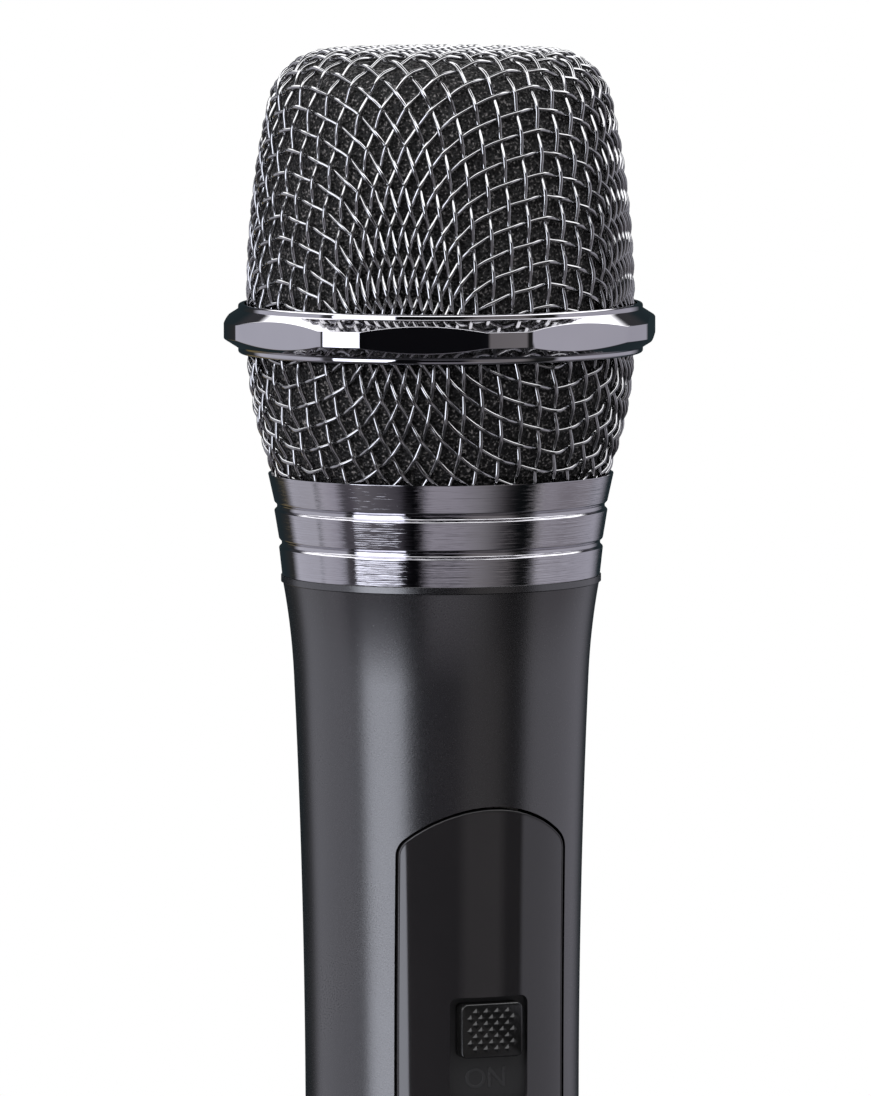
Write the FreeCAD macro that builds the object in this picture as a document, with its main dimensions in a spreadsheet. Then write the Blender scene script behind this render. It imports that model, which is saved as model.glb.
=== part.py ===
import FreeCAD, Part
import math
import os
import Sketcher

# Handheld karaoke microphone, cordless, standing on its base with the switch facing -Y.
# Z runs up the axis from the flat foot of the end cap; all sizes are millimetres.

doc = FreeCAD.newDocument("karaoke_microphone")
sheet = doc.addObject("Spreadsheet::Sheet", "dims")
Vector = FreeCAD.Vector
UP = Vector(0, 0, 1)
AXIS = Vector(0, 0, 0)

# Driving dimensions: alias, value, what it is
DIMENSIONS = [
    ("grip_radius", 17.5, "straight part of the handle"),
    ("handle_wall", 1.7, "handle shell wall"),
    ("cradle_head_depth", 6.7, "seam down to the top of the battery cradle"),
    ("straight_length", 25.5, "straight part above the seam"),
    ("handle_length", 95.8, "seam to the top edge of the handle"),
    ("short_flare_length", 12.8, "top edge down to where the wide flare takes over"),
    ("flare_growth", 1.3, "growth of the radius over the gentle flare"),
    ("lip_proud", 0.25, "bead beyond the end of the flare"),
    ("lip_height", 0.9, "height of that bead"),
    ("flare_end_growth", 1.35, "growth of the radius over the wide flare"),
    ("seam_chamfer", 0.3, "edge break at each seam"),
    ("neck_step", 1.85, "spigot that the head screws onto, inside the bead"),
    ("neck_height", 7.4, "height of that spigot"),
    ("neck_wall", 1.65, "wall of that spigot"),
    ("screw_clearance", 0.15, "radial play of a screwed joint"),
    ("panel_half_width", 11.5, "half width of the panel opening"),
    ("panel_below", 27.95, "crown of the panel opening below the handle's top edge"),
    ("panel_length", 61.85, "length of the panel opening"),
    ("panel_bend", 16.0, "radius of the two crowns"),
    ("panel_shoulder", 3.0, "corner radius of the opening"),
    ("panel_gap", 0.35, "shadow gap round the panel"),
    ("panel_inset", 0.12, "panel face below the handle face"),
    ("panel_thickness", 2.9, "panel face to its inside, at the grip"),
    ("panel_flange", 1.5, "flange behind the opening"),
    ("panel_play", 0.1, "flange to the bore of the handle"),
    ("window_half_width", 5.25, "switch window in the panel"),
    ("window_below", 24.25, "upper edge of the window below the panel's crown"),
    ("window_height", 13.5, "height of the window"),
    ("window_corner", 1.0, "corner radius of the window"),
    ("knob_half_width", 4.12, "thumb knob"),
    ("knob_half_height", 3.45, "thumb knob"),
    ("knob_above", 0.75, "knob to the upper edge of the window, switched on"),
    ("knob_proud", 0.65, "thumb face beyond the grip"),
    ("knob_corner", 0.7, "corner radius of the knob"),
    ("knob_border", 0.6, "plain border round the knob's knurling"),
    ("knurl_across", 1.44, "knurling, from point to point across the knob"),
    ("knurl_rise", 1.58, "knurling, from point to point along the slide"),
    ("knurl_depth", 0.3, "grooves of the knurling"),
    ("switch_travel", 5.0, "slide from on to off"),
    ("shutter_depth", 2.0, "front of the shutter below the grip"),
    ("shutter_thickness", 0.8, "shutter plate"),
    ("shutter_half_width", 6.1, "shutter plate"),
    ("shutter_overlap", 0.8, "shutter beyond the window"),
    ("slide_clearance", 0.12, "play of the sliding pieces"),
    ("rail_width", 1.0, "shutter rails inside the panel"),
    ("rail_lip", 0.9, "lip that holds the shutter"),
    ("fork_half_width", 2.5, "fork behind the shutter"),
    ("fork_half_height", 3.0, "fork behind the shutter"),
    ("fork_length", 5.2, "fork behind the shutter"),
    ("stem_half_width", 1.0, "switch stem"),
    ("stem_reach", 2.0, "stem inside the fork"),
    ("foot_half_width", 2.8, "foot of the switch stem"),
    ("foot_half_height", 1.9, "foot of the switch stem"),
    ("foot_depth", 2.4, "foot of the switch stem"),
    ("can_half_width", 3.6, "metal case of the switch"),
    ("can_half_height", 7.5, "metal case of the switch"),
    ("can_depth", 4.8, "metal case of the switch"),
    ("can_wall", 0.5, "metal case of the switch"),
    ("switch_base_depth", 1.0, "insulating base of the switch"),
    ("board_face", 3.6, "front of the circuit board from the axis"),
    ("board_thickness", 1.6, "circuit board"),
    ("board_margin", 3.8, "board's edge to the bore of the handle"),
    ("board_above", 4.5, "board above the seam"),
    ("board_length", 82.0, "circuit board"),
    ("board_screw_x", 9.0, "board screws from the middle"),
    ("board_screw_inset", 3.5, "board screws from the board's ends"),
    ("screw_radius", 1.0, "board screw shank"),
    ("screw_head_radius", 1.9, "board screw head"),
    ("screw_head_height", 1.3, "board screw head"),
    ("screw_length", 4.0, "board screw shank"),
    ("ledge_half_width", 3.0, "ledges that carry the board"),
    ("ledge_thickness", 2.5, "ledges that carry the board"),
    ("sleeve_wall", 1.4, "battery sleeve wall"),
    ("cap_height", 12.0, "end cap below the sleeve"),
    ("cap_wall", 3.0, "floor of the end cap"),
    ("cap_rounding", 2.5, "rounded lower edge"),
    ("cap_spigot", 5.0, "plug into the sleeve"),
    ("cap_plug_wall", 3.18, "wall of the end cap's plug"),
    ("foot_ring_width", 5.5, "foot ring, from the grip's face"),
    ("foot_recess", 0.6, "recess inside the foot ring"),
    ("spigot_play", 0.05, "spigot in the bore of the handle"),
    ("spigot_wall", 2.15, "wall of that spigot"),
    ("spigot_depth", 9.8, "lower end of that spigot below the seam"),
    ("spigot_insert", 3.0, "length of it inside the handle"),
    ("cradle_foot_play", 0.8, "lower plate of the cradle to the sleeve"),
    ("cradle_lift", 0.6, "cradle above the end cap's plug"),
    ("cradle_plate", 2.7, "thickness of both plates"),
    ("spine_half_width", 8.8, "back of the cradle"),
    ("spine_thickness", 1.8, "back of the cradle"),
    ("cell_radius", 7.2, "penlight cell"),
    ("cell_length", 50.5, "penlight cell with its terminal"),
    ("cell_spacing", 14.7, "between the cells' middles"),
    ("terminal_radius", 2.6, "positive terminal"),
    ("terminal_height", 1.0, "positive terminal"),
    ("contact_thickness", 0.4, "contact strip"),
    ("contact_bump", 0.5, "raised leaf of a contact"),
    ("contact_half_width", 2.5, "contact strip"),
    ("antenna_radius", 0.5, "aerial wire"),
    ("antenna_distance", 4.3, "aerial wire in front of the axis"),
    ("antenna_overlap", 7.5, "aerial wire above the board's lower edge"),
    ("collar_height", 13.0, "three-tier collar"),
    ("collar_step", 0.15, "collar's lower edge inside the bead"),
    ("first_flare", 0.11, "widening of the lowest tier per mm"),
    ("flare_step", 0.055, "extra widening of each next tier"),
    ("groove_width", 1.15, "groove between two tiers"),
    ("groove_depth", 0.35, "groove between two tiers"),
    ("collar_seat", 1.7, "seat for the wire basket"),
    ("seat_play", 0.15, "wire basket to its seat in the collar"),
    ("ring_above", 31.5, "middle of the faceted ring above the handle's top edge"),
    ("ring_proud", 3.25, "rim of the ring beyond the wire baskets"),
    ("facet_depth", 1.15, "depth of the flat facets in the rim"),
    ("facet_count", 8.0, "flat facets"),
    ("facet_turn", 19.4, "turn of the ring in degrees"),
    ("ring_lip_width", 0.75, "lips of the ring"),
    ("ring_play", 0.2, "bore of the ring to the baskets"),
    ("ring_half_height", 3.15, "faceted ring"),
    ("ring_bevel_height", 2.45, "where the bevels start"),
    ("rim_half_height", 1.0, "rim between the bevels"),
    ("basket_growth", 7.3, "wire baskets at the ring, beyond the grip"),
    ("basket_wall", 1.1, "two crossed wires"),
    ("basket_gap", 0.3, "baskets to the middle of the ring"),
    ("side_bend", 119.0, "radius of the upper basket's side"),
    ("dome_above", 35.7, "top of the wire head above the ring's middle"),
    ("corner_inside", 10.9, "middle of the corner bend inside the basket's foot"),
    ("corner_below", 8.4, "middle of the corner bend below the top"),
    ("basket_foot_step", 0.67, "lower basket's foot outside the collar's lower edge"),
    ("lower_bend_below", 1.3, "widest level of the lower basket below the ring's middle"),
    ("wire_pitch", 2.8, "pitch of the woven wire"),
    ("wire_diameter", 0.55, "woven wire"),
    ("upper_weave_turn", 10.4, "turn of the upper weave in degrees"),
    ("lower_weave_turn", 18.2, "turn of the lower weave in degrees"),
    ("band_half_height", 2.8, "inner band behind the ring"),
    ("band_thickness", 0.7, "inner band behind the ring"),
    ("band_gap", 0.6, "inner band to the baskets"),
    ("foam_gap", 1.2, "foam to the baskets"),
    ("foam_thickness", 3.0, "foam of the upper basket"),
    ("lower_foam_thickness", 2.0, "foam of the lower basket"),
    ("seat_flange", 1.5, "flange of the capsule seat"),
    ("seat_flange_inset", 0.45, "flange of the capsule seat inside the neck"),
    ("seat_skirt_wall", 1.5, "skirt of the capsule seat"),
    ("seat_skirt_depth", 9.0, "skirt of the capsule seat"),
    ("lead_hole_radius", 5.0, "hole for the leads in the seat"),
    ("mount_cup_wall", 2.58, "rubber mount round the capsule"),
    ("mount_waist_depth", 3.2, "waist of the rubber mount inside its rims"),
    ("mount_wall", 2.6, "rubber mount"),
    ("mount_step", 3.0, "rolls of the rubber mount"),
    ("mount_rim", 5.5, "rim of the mount round the capsule"),
    ("capsule_below", 5.8, "underside of the capsule below the ring's middle"),
    ("capsule_radius", 13.5, "capsule can"),
    ("capsule_length", 26.5, "capsule can"),
    ("capsule_wall", 0.8, "capsule can"),
    ("capsule_floor", 1.2, "capsule can"),
    ("front_cap_wall", 0.58, "perforated front of the capsule"),
    ("front_cap_thickness", 1.2, "perforated front of the capsule"),
    ("front_cap_skirt", 3.0, "perforated front of the capsule"),
    ("front_hole_radius", 1.5, "holes of the front"),
    ("front_hole_circle", 7.6, "ring of holes"),
    ("front_hole_count", 8.0, "ring of holes"),
    ("yoke_inside", 3.2, "steel yoke cup inside the capsule's bore"),
    ("yoke_wall", 1.4, "steel yoke cup"),
    ("yoke_height", 12.0, "steel yoke cup"),
    ("yoke_floor", 2.0, "steel yoke cup"),
    ("magnet_gap", 1.7, "magnet to the yoke's bore"),
    ("magnet_height", 7.0, "magnet"),
    ("pole_gap", 1.3, "pole plate to the yoke's bore"),
    ("coil_clearance", 0.35, "voice coil to the pole plate"),
    ("coil_thickness", 0.5, "voice coil"),
    ("coil_height", 7.0, "voice coil"),
    ("coil_drop", 4.0, "voice coil inside the gap"),
    ("diaphragm_thickness", 0.25, "diaphragm"),
    ("diaphragm_inset", 0.2, "diaphragm's edge inside the frame"),
    ("dome_height", 2.6, "dome of the diaphragm"),
    ("frame_play", 0.1, "frame round the yoke to the capsule's bore"),
    ("frame_step", 2.0, "inner rim of that frame below its outer rim"),
    ("gasket_width", 1.6, "ring that clamps the diaphragm"),
    ("gasket_height", 1.0, "ring that clamps the diaphragm"),
    ("terminal_board_inset", 2.4, "terminal board inside the mount's bore"),
    ("terminal_board_height", 1.2, "terminal board of the capsule"),
    ("lead_radius", 0.5, "capsule leads"),
    ("lead_spread", 2.0, "capsule leads from the middle"),
    ("lead_bend", 6.0, "bend radius of the capsule leads"),
    ("chip_height", 1.4, "chips on the board"),
    ("shield_height", 2.8, "screening can on the board"),
    ("shield_half", 8.0, "screening can on the board"),
    ("chip_half", 2.4, "chips on the board"),
    ("capacitor_radius", 2.5, "capacitors"),
    ("capacitor_height", 6.0, "capacitors"),
]


class Size:
    """A size that keeps its number and the sheet expression that it comes from."""

    def __init__(self, number, text):
        self.number = float(number)
        self.text = text

    def __add__(self, other):
        other = as_size(other)
        return Size(self.number + other.number, f"({self.text} + {other.text})")

    def __sub__(self, other):
        other = as_size(other)
        return Size(self.number - other.number, f"({self.text} - {other.text})")

    def __mul__(self, other):
        other = as_size(other)
        return Size(self.number * other.number, f"({self.text} * {other.text})")

    def __truediv__(self, other):
        other = as_size(other)
        return Size(self.number / other.number, f"({self.text} / {other.text})")

    def __neg__(self):
        return Size(-self.number, f"(0 - {self.text})")

    def __radd__(self, other):
        return as_size(other) + self

    def __rsub__(self, other):
        return as_size(other) - self

    def __rmul__(self, other):
        return as_size(other) * self

    def squared(self):
        return self * self

    def root(self):
        return Size(math.sqrt(self.number), f"sqrt({self.text})")


def as_size(value):
    return value if isinstance(value, Size) else Size(value, f"({float(value)})")


def write_sheet():
    """Fills the sheet and gives each dimension back as a Size."""
    sizes = {}
    for row, (alias, value, meaning) in enumerate(DIMENSIONS, start=1):
        sheet.set(f"A{row}", meaning)
        sheet.set(f"B{row}", str(value))
        sheet.setAlias(f"B{row}", alias)
        sizes[alias] = Size(value, f"dims.{alias}")
    doc.recompute()
    return sizes


def derive(d):
    """Works out the levels and radii that follow from the driving dimensions."""
    d["cradle_bottom"] = d["cap_height"] + d["cap_spigot"] + d["cradle_lift"]
    d["contact_height"] = d["contact_thickness"] + d["contact_bump"]
    d["cell_bottom"] = d["cradle_bottom"] + d["cradle_plate"] + d["contact_height"]
    d["cell_top"] = d["cell_bottom"] + d["cell_length"]
    d["cradle_head"] = d["cell_top"] + d["contact_height"]
    d["split_height"] = d["cradle_head"] + d["cradle_plate"] + d["cradle_head_depth"]
    d["handle_top"] = d["split_height"] + d["handle_length"]
    d["flare_start"] = d["split_height"] + d["straight_length"]
    d["flare_middle"] = d["handle_top"] - d["short_flare_length"]
    d["flare_radius"] = d["grip_radius"] + d["flare_growth"]
    d["flare_end_radius"] = d["flare_radius"] + d["flare_end_growth"]
    d["lip_radius"] = d["flare_end_radius"] + d["lip_proud"]
    d["handle_bore"] = d["grip_radius"] - d["handle_wall"]
    d["neck_radius"] = d["lip_radius"] - d["neck_step"]
    d["neck_bore"] = d["neck_radius"] - d["neck_wall"]
    d["neck_top"] = d["handle_top"] + d["neck_height"]
    d["panel_top"] = d["handle_top"] - d["panel_below"]
    d["panel_bottom"] = d["panel_top"] - d["panel_length"]
    d["panel_inner_radius"] = d["grip_radius"] - d["panel_thickness"]
    d["window_top"] = d["panel_top"] - d["window_below"]
    d["window_bottom"] = d["window_top"] - d["window_height"]
    d["knob_height"] = d["window_top"] - d["knob_above"] - d["knob_half_height"]
    d["knob_face"] = d["grip_radius"] + d["knob_proud"]
    d["shutter_face"] = d["grip_radius"] - d["shutter_depth"]
    d["shutter_back"] = d["shutter_face"] - d["shutter_thickness"]
    d["fork_end"] = d["shutter_back"] - d["fork_length"]
    d["stem_end"] = d["fork_end"] + d["stem_reach"]
    d["board_back"] = d["board_face"] - d["board_thickness"]
    d["board_bottom"] = d["split_height"] + d["board_above"]
    d["board_top"] = d["board_bottom"] + d["board_length"]
    d["board_half_width"] = d["handle_bore"] - d["board_margin"]
    d["spigot_radius"] = d["handle_bore"] - d["spigot_play"]
    d["spigot_bore"] = d["spigot_radius"] - d["spigot_wall"]
    d["spigot_bottom"] = d["split_height"] - d["spigot_depth"]
    d["sleeve_bore"] = d["grip_radius"] - d["sleeve_wall"]
    d["plug_radius"] = d["sleeve_bore"] - d["slide_clearance"]
    d["cap_cavity_radius"] = d["plug_radius"] - d["cap_plug_wall"]
    d["foot_radius"] = d["grip_radius"] - d["foot_ring_width"]
    d["cradle_radius"] = d["spigot_bore"] - d["panel_play"]
    d["cradle_foot_radius"] = d["sleeve_bore"] - d["cradle_foot_play"]
    d["antenna_top"] = d["board_bottom"] + d["antenna_overlap"]
    d["collar_radius"] = d["lip_radius"] - d["collar_step"]
    d["collar_top"] = d["handle_top"] + d["collar_height"]
    d["basket_bottom"] = d["collar_top"] - d["collar_seat"]
    d["ring_height"] = d["handle_top"] + d["ring_above"]
    d["basket_radius"] = d["grip_radius"] + d["basket_growth"]
    d["ring_radius"] = d["basket_radius"] + d["ring_proud"]
    d["facet_distance"] = d["ring_radius"] - d["facet_depth"]
    d["ring_bore"] = d["basket_radius"] + d["ring_play"]
    d["ring_lip_radius"] = d["ring_bore"] + d["ring_lip_width"]
    d["total_length"] = d["ring_height"] + d["dome_above"]
    d["corner_across"] = d["basket_radius"] - d["corner_inside"]
    d["corner_height"] = d["total_length"] - d["corner_below"]
    d["lower_bend_height"] = d["ring_height"] - d["lower_bend_below"]
    basket_drop = d["lower_bend_height"] - d["basket_bottom"]
    basket_taper = d["basket_radius"] - d["collar_radius"] - d["basket_foot_step"]
    d["lower_bend"] = (basket_drop.squared() + basket_taper.squared()) / (2 * basket_taper)
    d["seat_flange_radius"] = d["neck_radius"] - d["seat_flange_inset"]
    d["seat_top"] = d["neck_top"] + d["seat_flange"]
    d["capsule_base"] = d["ring_height"] - d["capsule_below"]
    d["capsule_bore"] = d["capsule_radius"] - d["capsule_wall"]
    d["front_cap_radius"] = d["capsule_radius"] + d["slide_clearance"] + d["front_cap_wall"]
    d["yoke_radius"] = d["capsule_bore"] - d["yoke_inside"]
    d["yoke_bore"] = d["yoke_radius"] - d["yoke_wall"]
    d["magnet_radius"] = d["yoke_bore"] - d["magnet_gap"]
    d["pole_radius"] = d["yoke_bore"] - d["pole_gap"]
    d["coil_inner_radius"] = d["pole_radius"] + d["coil_clearance"]
    d["frame_radius"] = d["capsule_bore"] - d["frame_play"]
    d["diaphragm_radius"] = d["frame_radius"] - d["diaphragm_inset"]
    d["mount_grip"] = d["capsule_radius"] + d["slide_clearance"]
    d["mount_radius"] = d["mount_grip"] + d["mount_cup_wall"]
    d["mount_waist"] = d["mount_radius"] - d["mount_waist_depth"]
    d["mount_bore"] = d["mount_waist"] - d["mount_wall"]
    d["terminal_board_radius"] = d["mount_bore"] - d["terminal_board_inset"]
    return d


D = derive(write_sheet())
nodes = []


def node(item, label):
    """Marks an object as one piece of the microphone; its label names its file."""
    item.Label = label
    nodes.append(item)
    return item


def bind(item, path, size):
    item.setExpression(path, as_size(size).text)


# Sketches and solids

def pin_corner(sketch, end, point, index):
    """Ties one corner of an outline to its two sizes."""
    for kind, size, own_axis, letter in (("DistanceX", point[0], -2, "x"), ("DistanceY", point[1], -1, "y")):
        size = as_size(size)
        if size.number == 0:
            sketch.addConstraint(Sketcher.Constraint("PointOnObject", end[0], end[1], own_axis))
            continue
        rule = sketch.addConstraint(Sketcher.Constraint(kind, -1, 1, end[0], end[1], size.number))
        sketch.renameConstraint(rule, f"{letter}{index}")
        bind(sketch, f"Constraints.{letter}{index}", size)


def arc_through(start, finish, radius, side):
    """The short arc from start to finish; side 1 puts its middle on the left, -1 on the right."""
    chord = finish - start
    left = Vector(-chord.y, chord.x, 0).normalize()
    half = chord.Length / 2
    drop = radius - math.sqrt(radius * radius - half * half)
    return Part.Arc(start, (start + finish) * 0.5 - left * (side * drop), finish)


def draw_outline(sketch, corners, bends):
    """A closed outline: straight edges, and an arc (radius, side) after each corner in bends."""
    points = [Vector(as_size(x).number, as_size(y).number, 0) for x, y in corners]
    ends = []
    for index, start in enumerate(points):
        finish = points[(index + 1) % len(points)]
        if index in bends:
            radius, side = bends[index]
            edge = sketch.addGeometry(arc_through(start, finish, as_size(radius).number, side), False)
        else:
            edge = sketch.addGeometry(Part.LineSegment(start, finish), False)
        first = 1 if (sketch.getPoint(edge, 1) - start).Length < 1e-6 else 2
        ends.append(((edge, first), (edge, 3 - first)))
    for index, (begin, _) in enumerate(ends):
        before = ends[index - 1][1]
        sketch.addConstraint(Sketcher.Constraint("Coincident", before[0], before[1], begin[0], begin[1]))
        pin_corner(sketch, begin, corners[index], index)
    for index, (radius, _) in bends.items():
        edge = ends[index][0][0]
        rule = sketch.addConstraint(Sketcher.Constraint("Radius", edge, as_size(radius).number))
        sketch.renameConstraint(rule, f"bend{index}")
        bind(sketch, f"Constraints.bend{index}", radius)


def add_sketch(body, name, plane_role, start=0):
    """A sketch on one of the body's own origin planes, moved along that plane's normal by start."""
    plane = [item for item in body.Origin.OriginFeatures if item.Role == plane_role][0]
    sketch = body.newObject("Sketcher::SketchObject", name)
    sketch.AttachmentSupport = [(plane, "")]
    sketch.MapMode = "FlatFace"
    start = as_size(start)
    sketch.AttachmentOffset = FreeCAD.Placement(Vector(0, 0, start.number), FreeCAD.Rotation())
    bind(sketch, "AttachmentOffset.Base.z", start)
    return sketch


def turned(name, corners, bends=None):
    """A body turned about Z from an outline of (radius, height) corners."""
    body = doc.addObject("PartDesign::Body", name)
    sketch = add_sketch(body, f"{name}_outline", "XZ_Plane")
    draw_outline(sketch, corners, bends or {})
    turn = body.newObject("PartDesign::Revolution", f"{name}_turn")
    turn.Profile = sketch
    turn.ReferenceAxis = (sketch, ["V_Axis"])
    turn.Angle = 360
    return body


def pad(body, name, plane_role, corners, start, length, bends=None):
    """Adds an outline raised from start along the plane's normal."""
    sketch = add_sketch(body, f"{name}_outline", plane_role, start)
    draw_outline(sketch, corners, bends or {})
    feature = body.newObject("PartDesign::Pad", name)
    feature.Profile = sketch
    bind(feature, "Length", length)
    return feature


def pocket(body, name, plane_role, corners, start, depth):
    """Cuts an outline from start along the plane's normal."""
    sketch = add_sketch(body, f"{name}_outline", plane_role, start)
    draw_outline(sketch, corners, {})
    feature = body.newObject("PartDesign::Pocket", name)
    feature.Profile = sketch
    feature.Reversed = True
    bind(feature, "Length", depth)
    return feature


def round_pocket(body, name, across, height, radius, start, depth):
    """Cuts round holes that run along -Y through a body, at (x, z) middles."""
    sketch = add_sketch(body, f"{name}_outline", "XZ_Plane", start)
    for index, (x, z) in enumerate((x, z) for x in across for z in height):
        edge = sketch.addGeometry(
            Part.Circle(Vector(as_size(x).number, as_size(z).number, 0), UP, as_size(radius).number), False
        )
        pin_corner(sketch, (edge, 3), (x, z), index)
        rule = sketch.addConstraint(Sketcher.Constraint("Radius", edge, as_size(radius).number))
        sketch.renameConstraint(rule, f"hole{index}")
        bind(sketch, f"Constraints.hole{index}", radius)
    feature = body.newObject("PartDesign::Pocket", name)
    feature.Profile = sketch
    feature.Reversed = True
    bind(feature, "Length", depth)
    return feature


def soften(body, feature, name, radius, direction):
    """Rounds every straight edge of a feature that runs along direction."""
    doc.recompute()
    names = []
    for index, edge in enumerate(feature.Shape.Edges, start=1):
        if isinstance(edge.Curve, Part.Line) and abs(edge.Curve.Direction.dot(direction)) > 0.999:
            names.append(f"Edge{index}")
    fillet = body.newObject("PartDesign::Fillet", name)
    fillet.Base = (feature, names)
    bind(fillet, "Radius", radius)
    return fillet


def block(name, x_range, y_range, z_range):
    """A box between two sizes along each axis."""
    box = doc.addObject("Part::Box", name)
    for side, path, (low, high) in zip(
        ("Length", "Width", "Height"), ("x", "y", "z"), (x_range, y_range, z_range)
    ):
        bind(box, side, as_size(high) - low)
        bind(box, f"Placement.Base.{path}", low)
    return box


def rod(name, radius, height, base, along=UP):
    """A cylinder of a radius and height that starts at base."""
    cylinder = doc.addObject("Part::Cylinder", name)
    cylinder.Placement = FreeCAD.Placement(AXIS, FreeCAD.Rotation(UP, along))
    bind(cylinder, "Radius", radius)
    bind(cylinder, "Height", height)
    for path, size in zip("xyz", base):
        bind(cylinder, f"Placement.Base.{path}", size)
    return cylinder


def cut(name, base, tool):
    result = doc.addObject("Part::Cut", name)
    result.Base = base
    result.Tool = tool
    return result


def join(name, pieces):
    result = doc.addObject("Part::MultiFuse", name)
    result.Shapes = pieces
    return result


def common(name, base, tool):
    result = doc.addObject("Part::Common", name)
    result.Base = base
    result.Tool = tool
    return result


def group(name, pieces):
    """Alike pieces that stay separate solids in one node."""
    result = doc.addObject("Part::Compound", name)
    result.Links = pieces
    return result


# Handle

def long_flare():
    """Radius of the gentle arc that leaves the straight grip tangentially."""
    rise = D["flare_middle"] - D["flare_start"]
    growth = D["flare_radius"] - D["grip_radius"]
    return (rise.squared() + growth.squared()) / (2 * growth)


def short_flare():
    """Radius of the tighter arc that carries on from the gentle one without a kink."""
    sine = (D["flare_middle"] - D["flare_start"]) / long_flare()
    cosine = 1 - (D["flare_radius"] - D["grip_radius"]) / long_flare()
    rise = D["handle_top"] - D["lip_height"] - D["flare_middle"]
    growth = D["flare_end_radius"] - D["flare_radius"]
    return (rise.squared() + growth.squared()) / (2 * (growth * cosine - rise * sine))


def handle_face(inset, bottom, inner):
    """Outline corners and bends of a turned piece whose outside follows the handle, inset by a size."""
    under_lip = D["handle_top"] - D["lip_height"]
    corners = [
        (inner, bottom),
        (D["grip_radius"] - inset, bottom),
        (D["grip_radius"] - inset, D["flare_start"]),
        (D["flare_radius"] - inset, D["flare_middle"]),
        (D["flare_end_radius"] - inset, under_lip),
    ]
    return corners, {2: (long_flare(), -1), 3: (short_flare(), -1)}


def panel_prism(name, grow):
    """The arched outline of the switch panel, raised forwards from the middle of the handle."""
    half = D["panel_half_width"] + grow
    bend = D["panel_bend"] + grow
    crown = bend - (bend.squared() - half.squared()).root()
    top = D["panel_top"] + grow - crown
    bottom = D["panel_bottom"] - grow + crown
    body = doc.addObject("PartDesign::Body", name)
    corners = [(-half, bottom), (half, bottom), (half, top), (-half, top)]
    bends = {0: (bend, 1), 2: (bend, 1)}
    arch = pad(body, f"{name}_arch", "XZ_Plane", corners, 0, D["ring_radius"], bends)
    soften(body, arch, f"{name}_shoulders", D["panel_shoulder"] + grow, Vector(0, 1, 0))
    return body


def make_handle():
    """The upper handle: gripped tube, flare, bead and the spigot for the head."""
    bore, neck_bore, neck_top = D["handle_bore"], D["neck_bore"], D["neck_top"]
    chamfer = D["seam_chamfer"]
    corners, bends = handle_face(0, D["split_height"], bore)
    corners[1:2] = [
        (D["grip_radius"] - chamfer, D["split_height"]),
        (D["grip_radius"], D["split_height"] + chamfer),
    ]
    corners += [
        (D["lip_radius"], D["handle_top"] - D["lip_height"] + chamfer / 2),
        (D["lip_radius"], D["handle_top"]),
        (D["neck_radius"], D["handle_top"]),
        (D["neck_radius"], neck_top - chamfer),
        (D["neck_radius"] - chamfer, neck_top),
        (neck_bore, neck_top),
        (neck_bore, D["flare_middle"] + D["mount_step"]),
        (bore, D["flare_middle"] - D["mount_step"]),
    ]
    tube = turned("handle_tube", corners, {index + 1: bend for index, bend in bends.items()})
    opening = panel_prism("panel_opening", as_size(0))
    return node(cut("handle_cut", tube, opening), "handle_shell")


def make_panel():
    """The glossy arched panel: plug, flange behind the handle wall, switch window and shutter rails."""
    inner = D["panel_inner_radius"]
    corners, bends = handle_face(D["panel_inset"], D["split_height"], inner)
    corners.append((inner, D["handle_top"] - D["lip_height"]))
    bends = {index: (radius + D["panel_inset"], side) for index, (radius, side) in bends.items()}
    face = common(
        "panel_plug", turned("panel_face", corners, bends), panel_prism("panel_outline", -D["panel_gap"])
    )
    flange_outer = D["handle_bore"] - D["panel_play"]
    flange_ring = turned(
        "flange_ring",
        [
            (inner, D["split_height"]),
            (flange_outer, D["split_height"]),
            (flange_outer, D["flare_middle"]),
            (inner, D["flare_middle"]),
        ],
    )
    flange = common("panel_flange_part", flange_ring, panel_prism("flange_outline", D["panel_flange"]))
    plug = join("panel_solid", [face, flange])

    low = D["window_bottom"]
    track_half = D["shutter_half_width"] + D["slide_clearance"]
    track_face = D["shutter_face"] + D["slide_clearance"]
    track_low = low - D["shutter_overlap"] - D["switch_travel"] - D["slide_clearance"]
    track_high = D["window_top"] + D["shutter_overlap"] + D["switch_travel"] + D["slide_clearance"]
    window = doc.addObject("PartDesign::Body", "switch_window")
    half = D["window_half_width"]
    frame = [(-half, low), (half, low), (half, D["window_top"]), (-half, D["window_top"])]
    opening = pad(window, "window_cut", "XZ_Plane", frame, 0, D["ring_radius"])
    soften(window, opening, "window_corners", D["window_corner"], Vector(0, 1, 0))
    track = block("shutter_track", (-track_half, track_half), (-track_face, 0), (track_low, track_high))
    lip_face = D["shutter_back"] - D["slide_clearance"]
    rails = []
    for side, name in ((1, "right"), (-1, "left")):
        edge = track_half * side
        outer = (track_half + D["rail_width"]) * side
        lip = (track_half - D["rail_lip"]) * side
        post = block(
            f"{name}_rail",
            (edge, outer) if side > 0 else (outer, edge),
            (-track_face, -lip_face + D["rail_width"] / 2),
            (track_low, track_high),
        )
        hook = block(
            f"{name}_rail_lip",
            (lip, outer) if side > 0 else (outer, lip),
            (-lip_face, -lip_face + D["rail_width"] / 2),
            (track_low, track_high),
        )
        rails += [post, hook]
    carved = cut("panel_track_cut", cut("panel_window_cut", plug, window), track)
    return node(join("panel_with_rails", [carved, *rails]), "switch_panel")


# Switch

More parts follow.
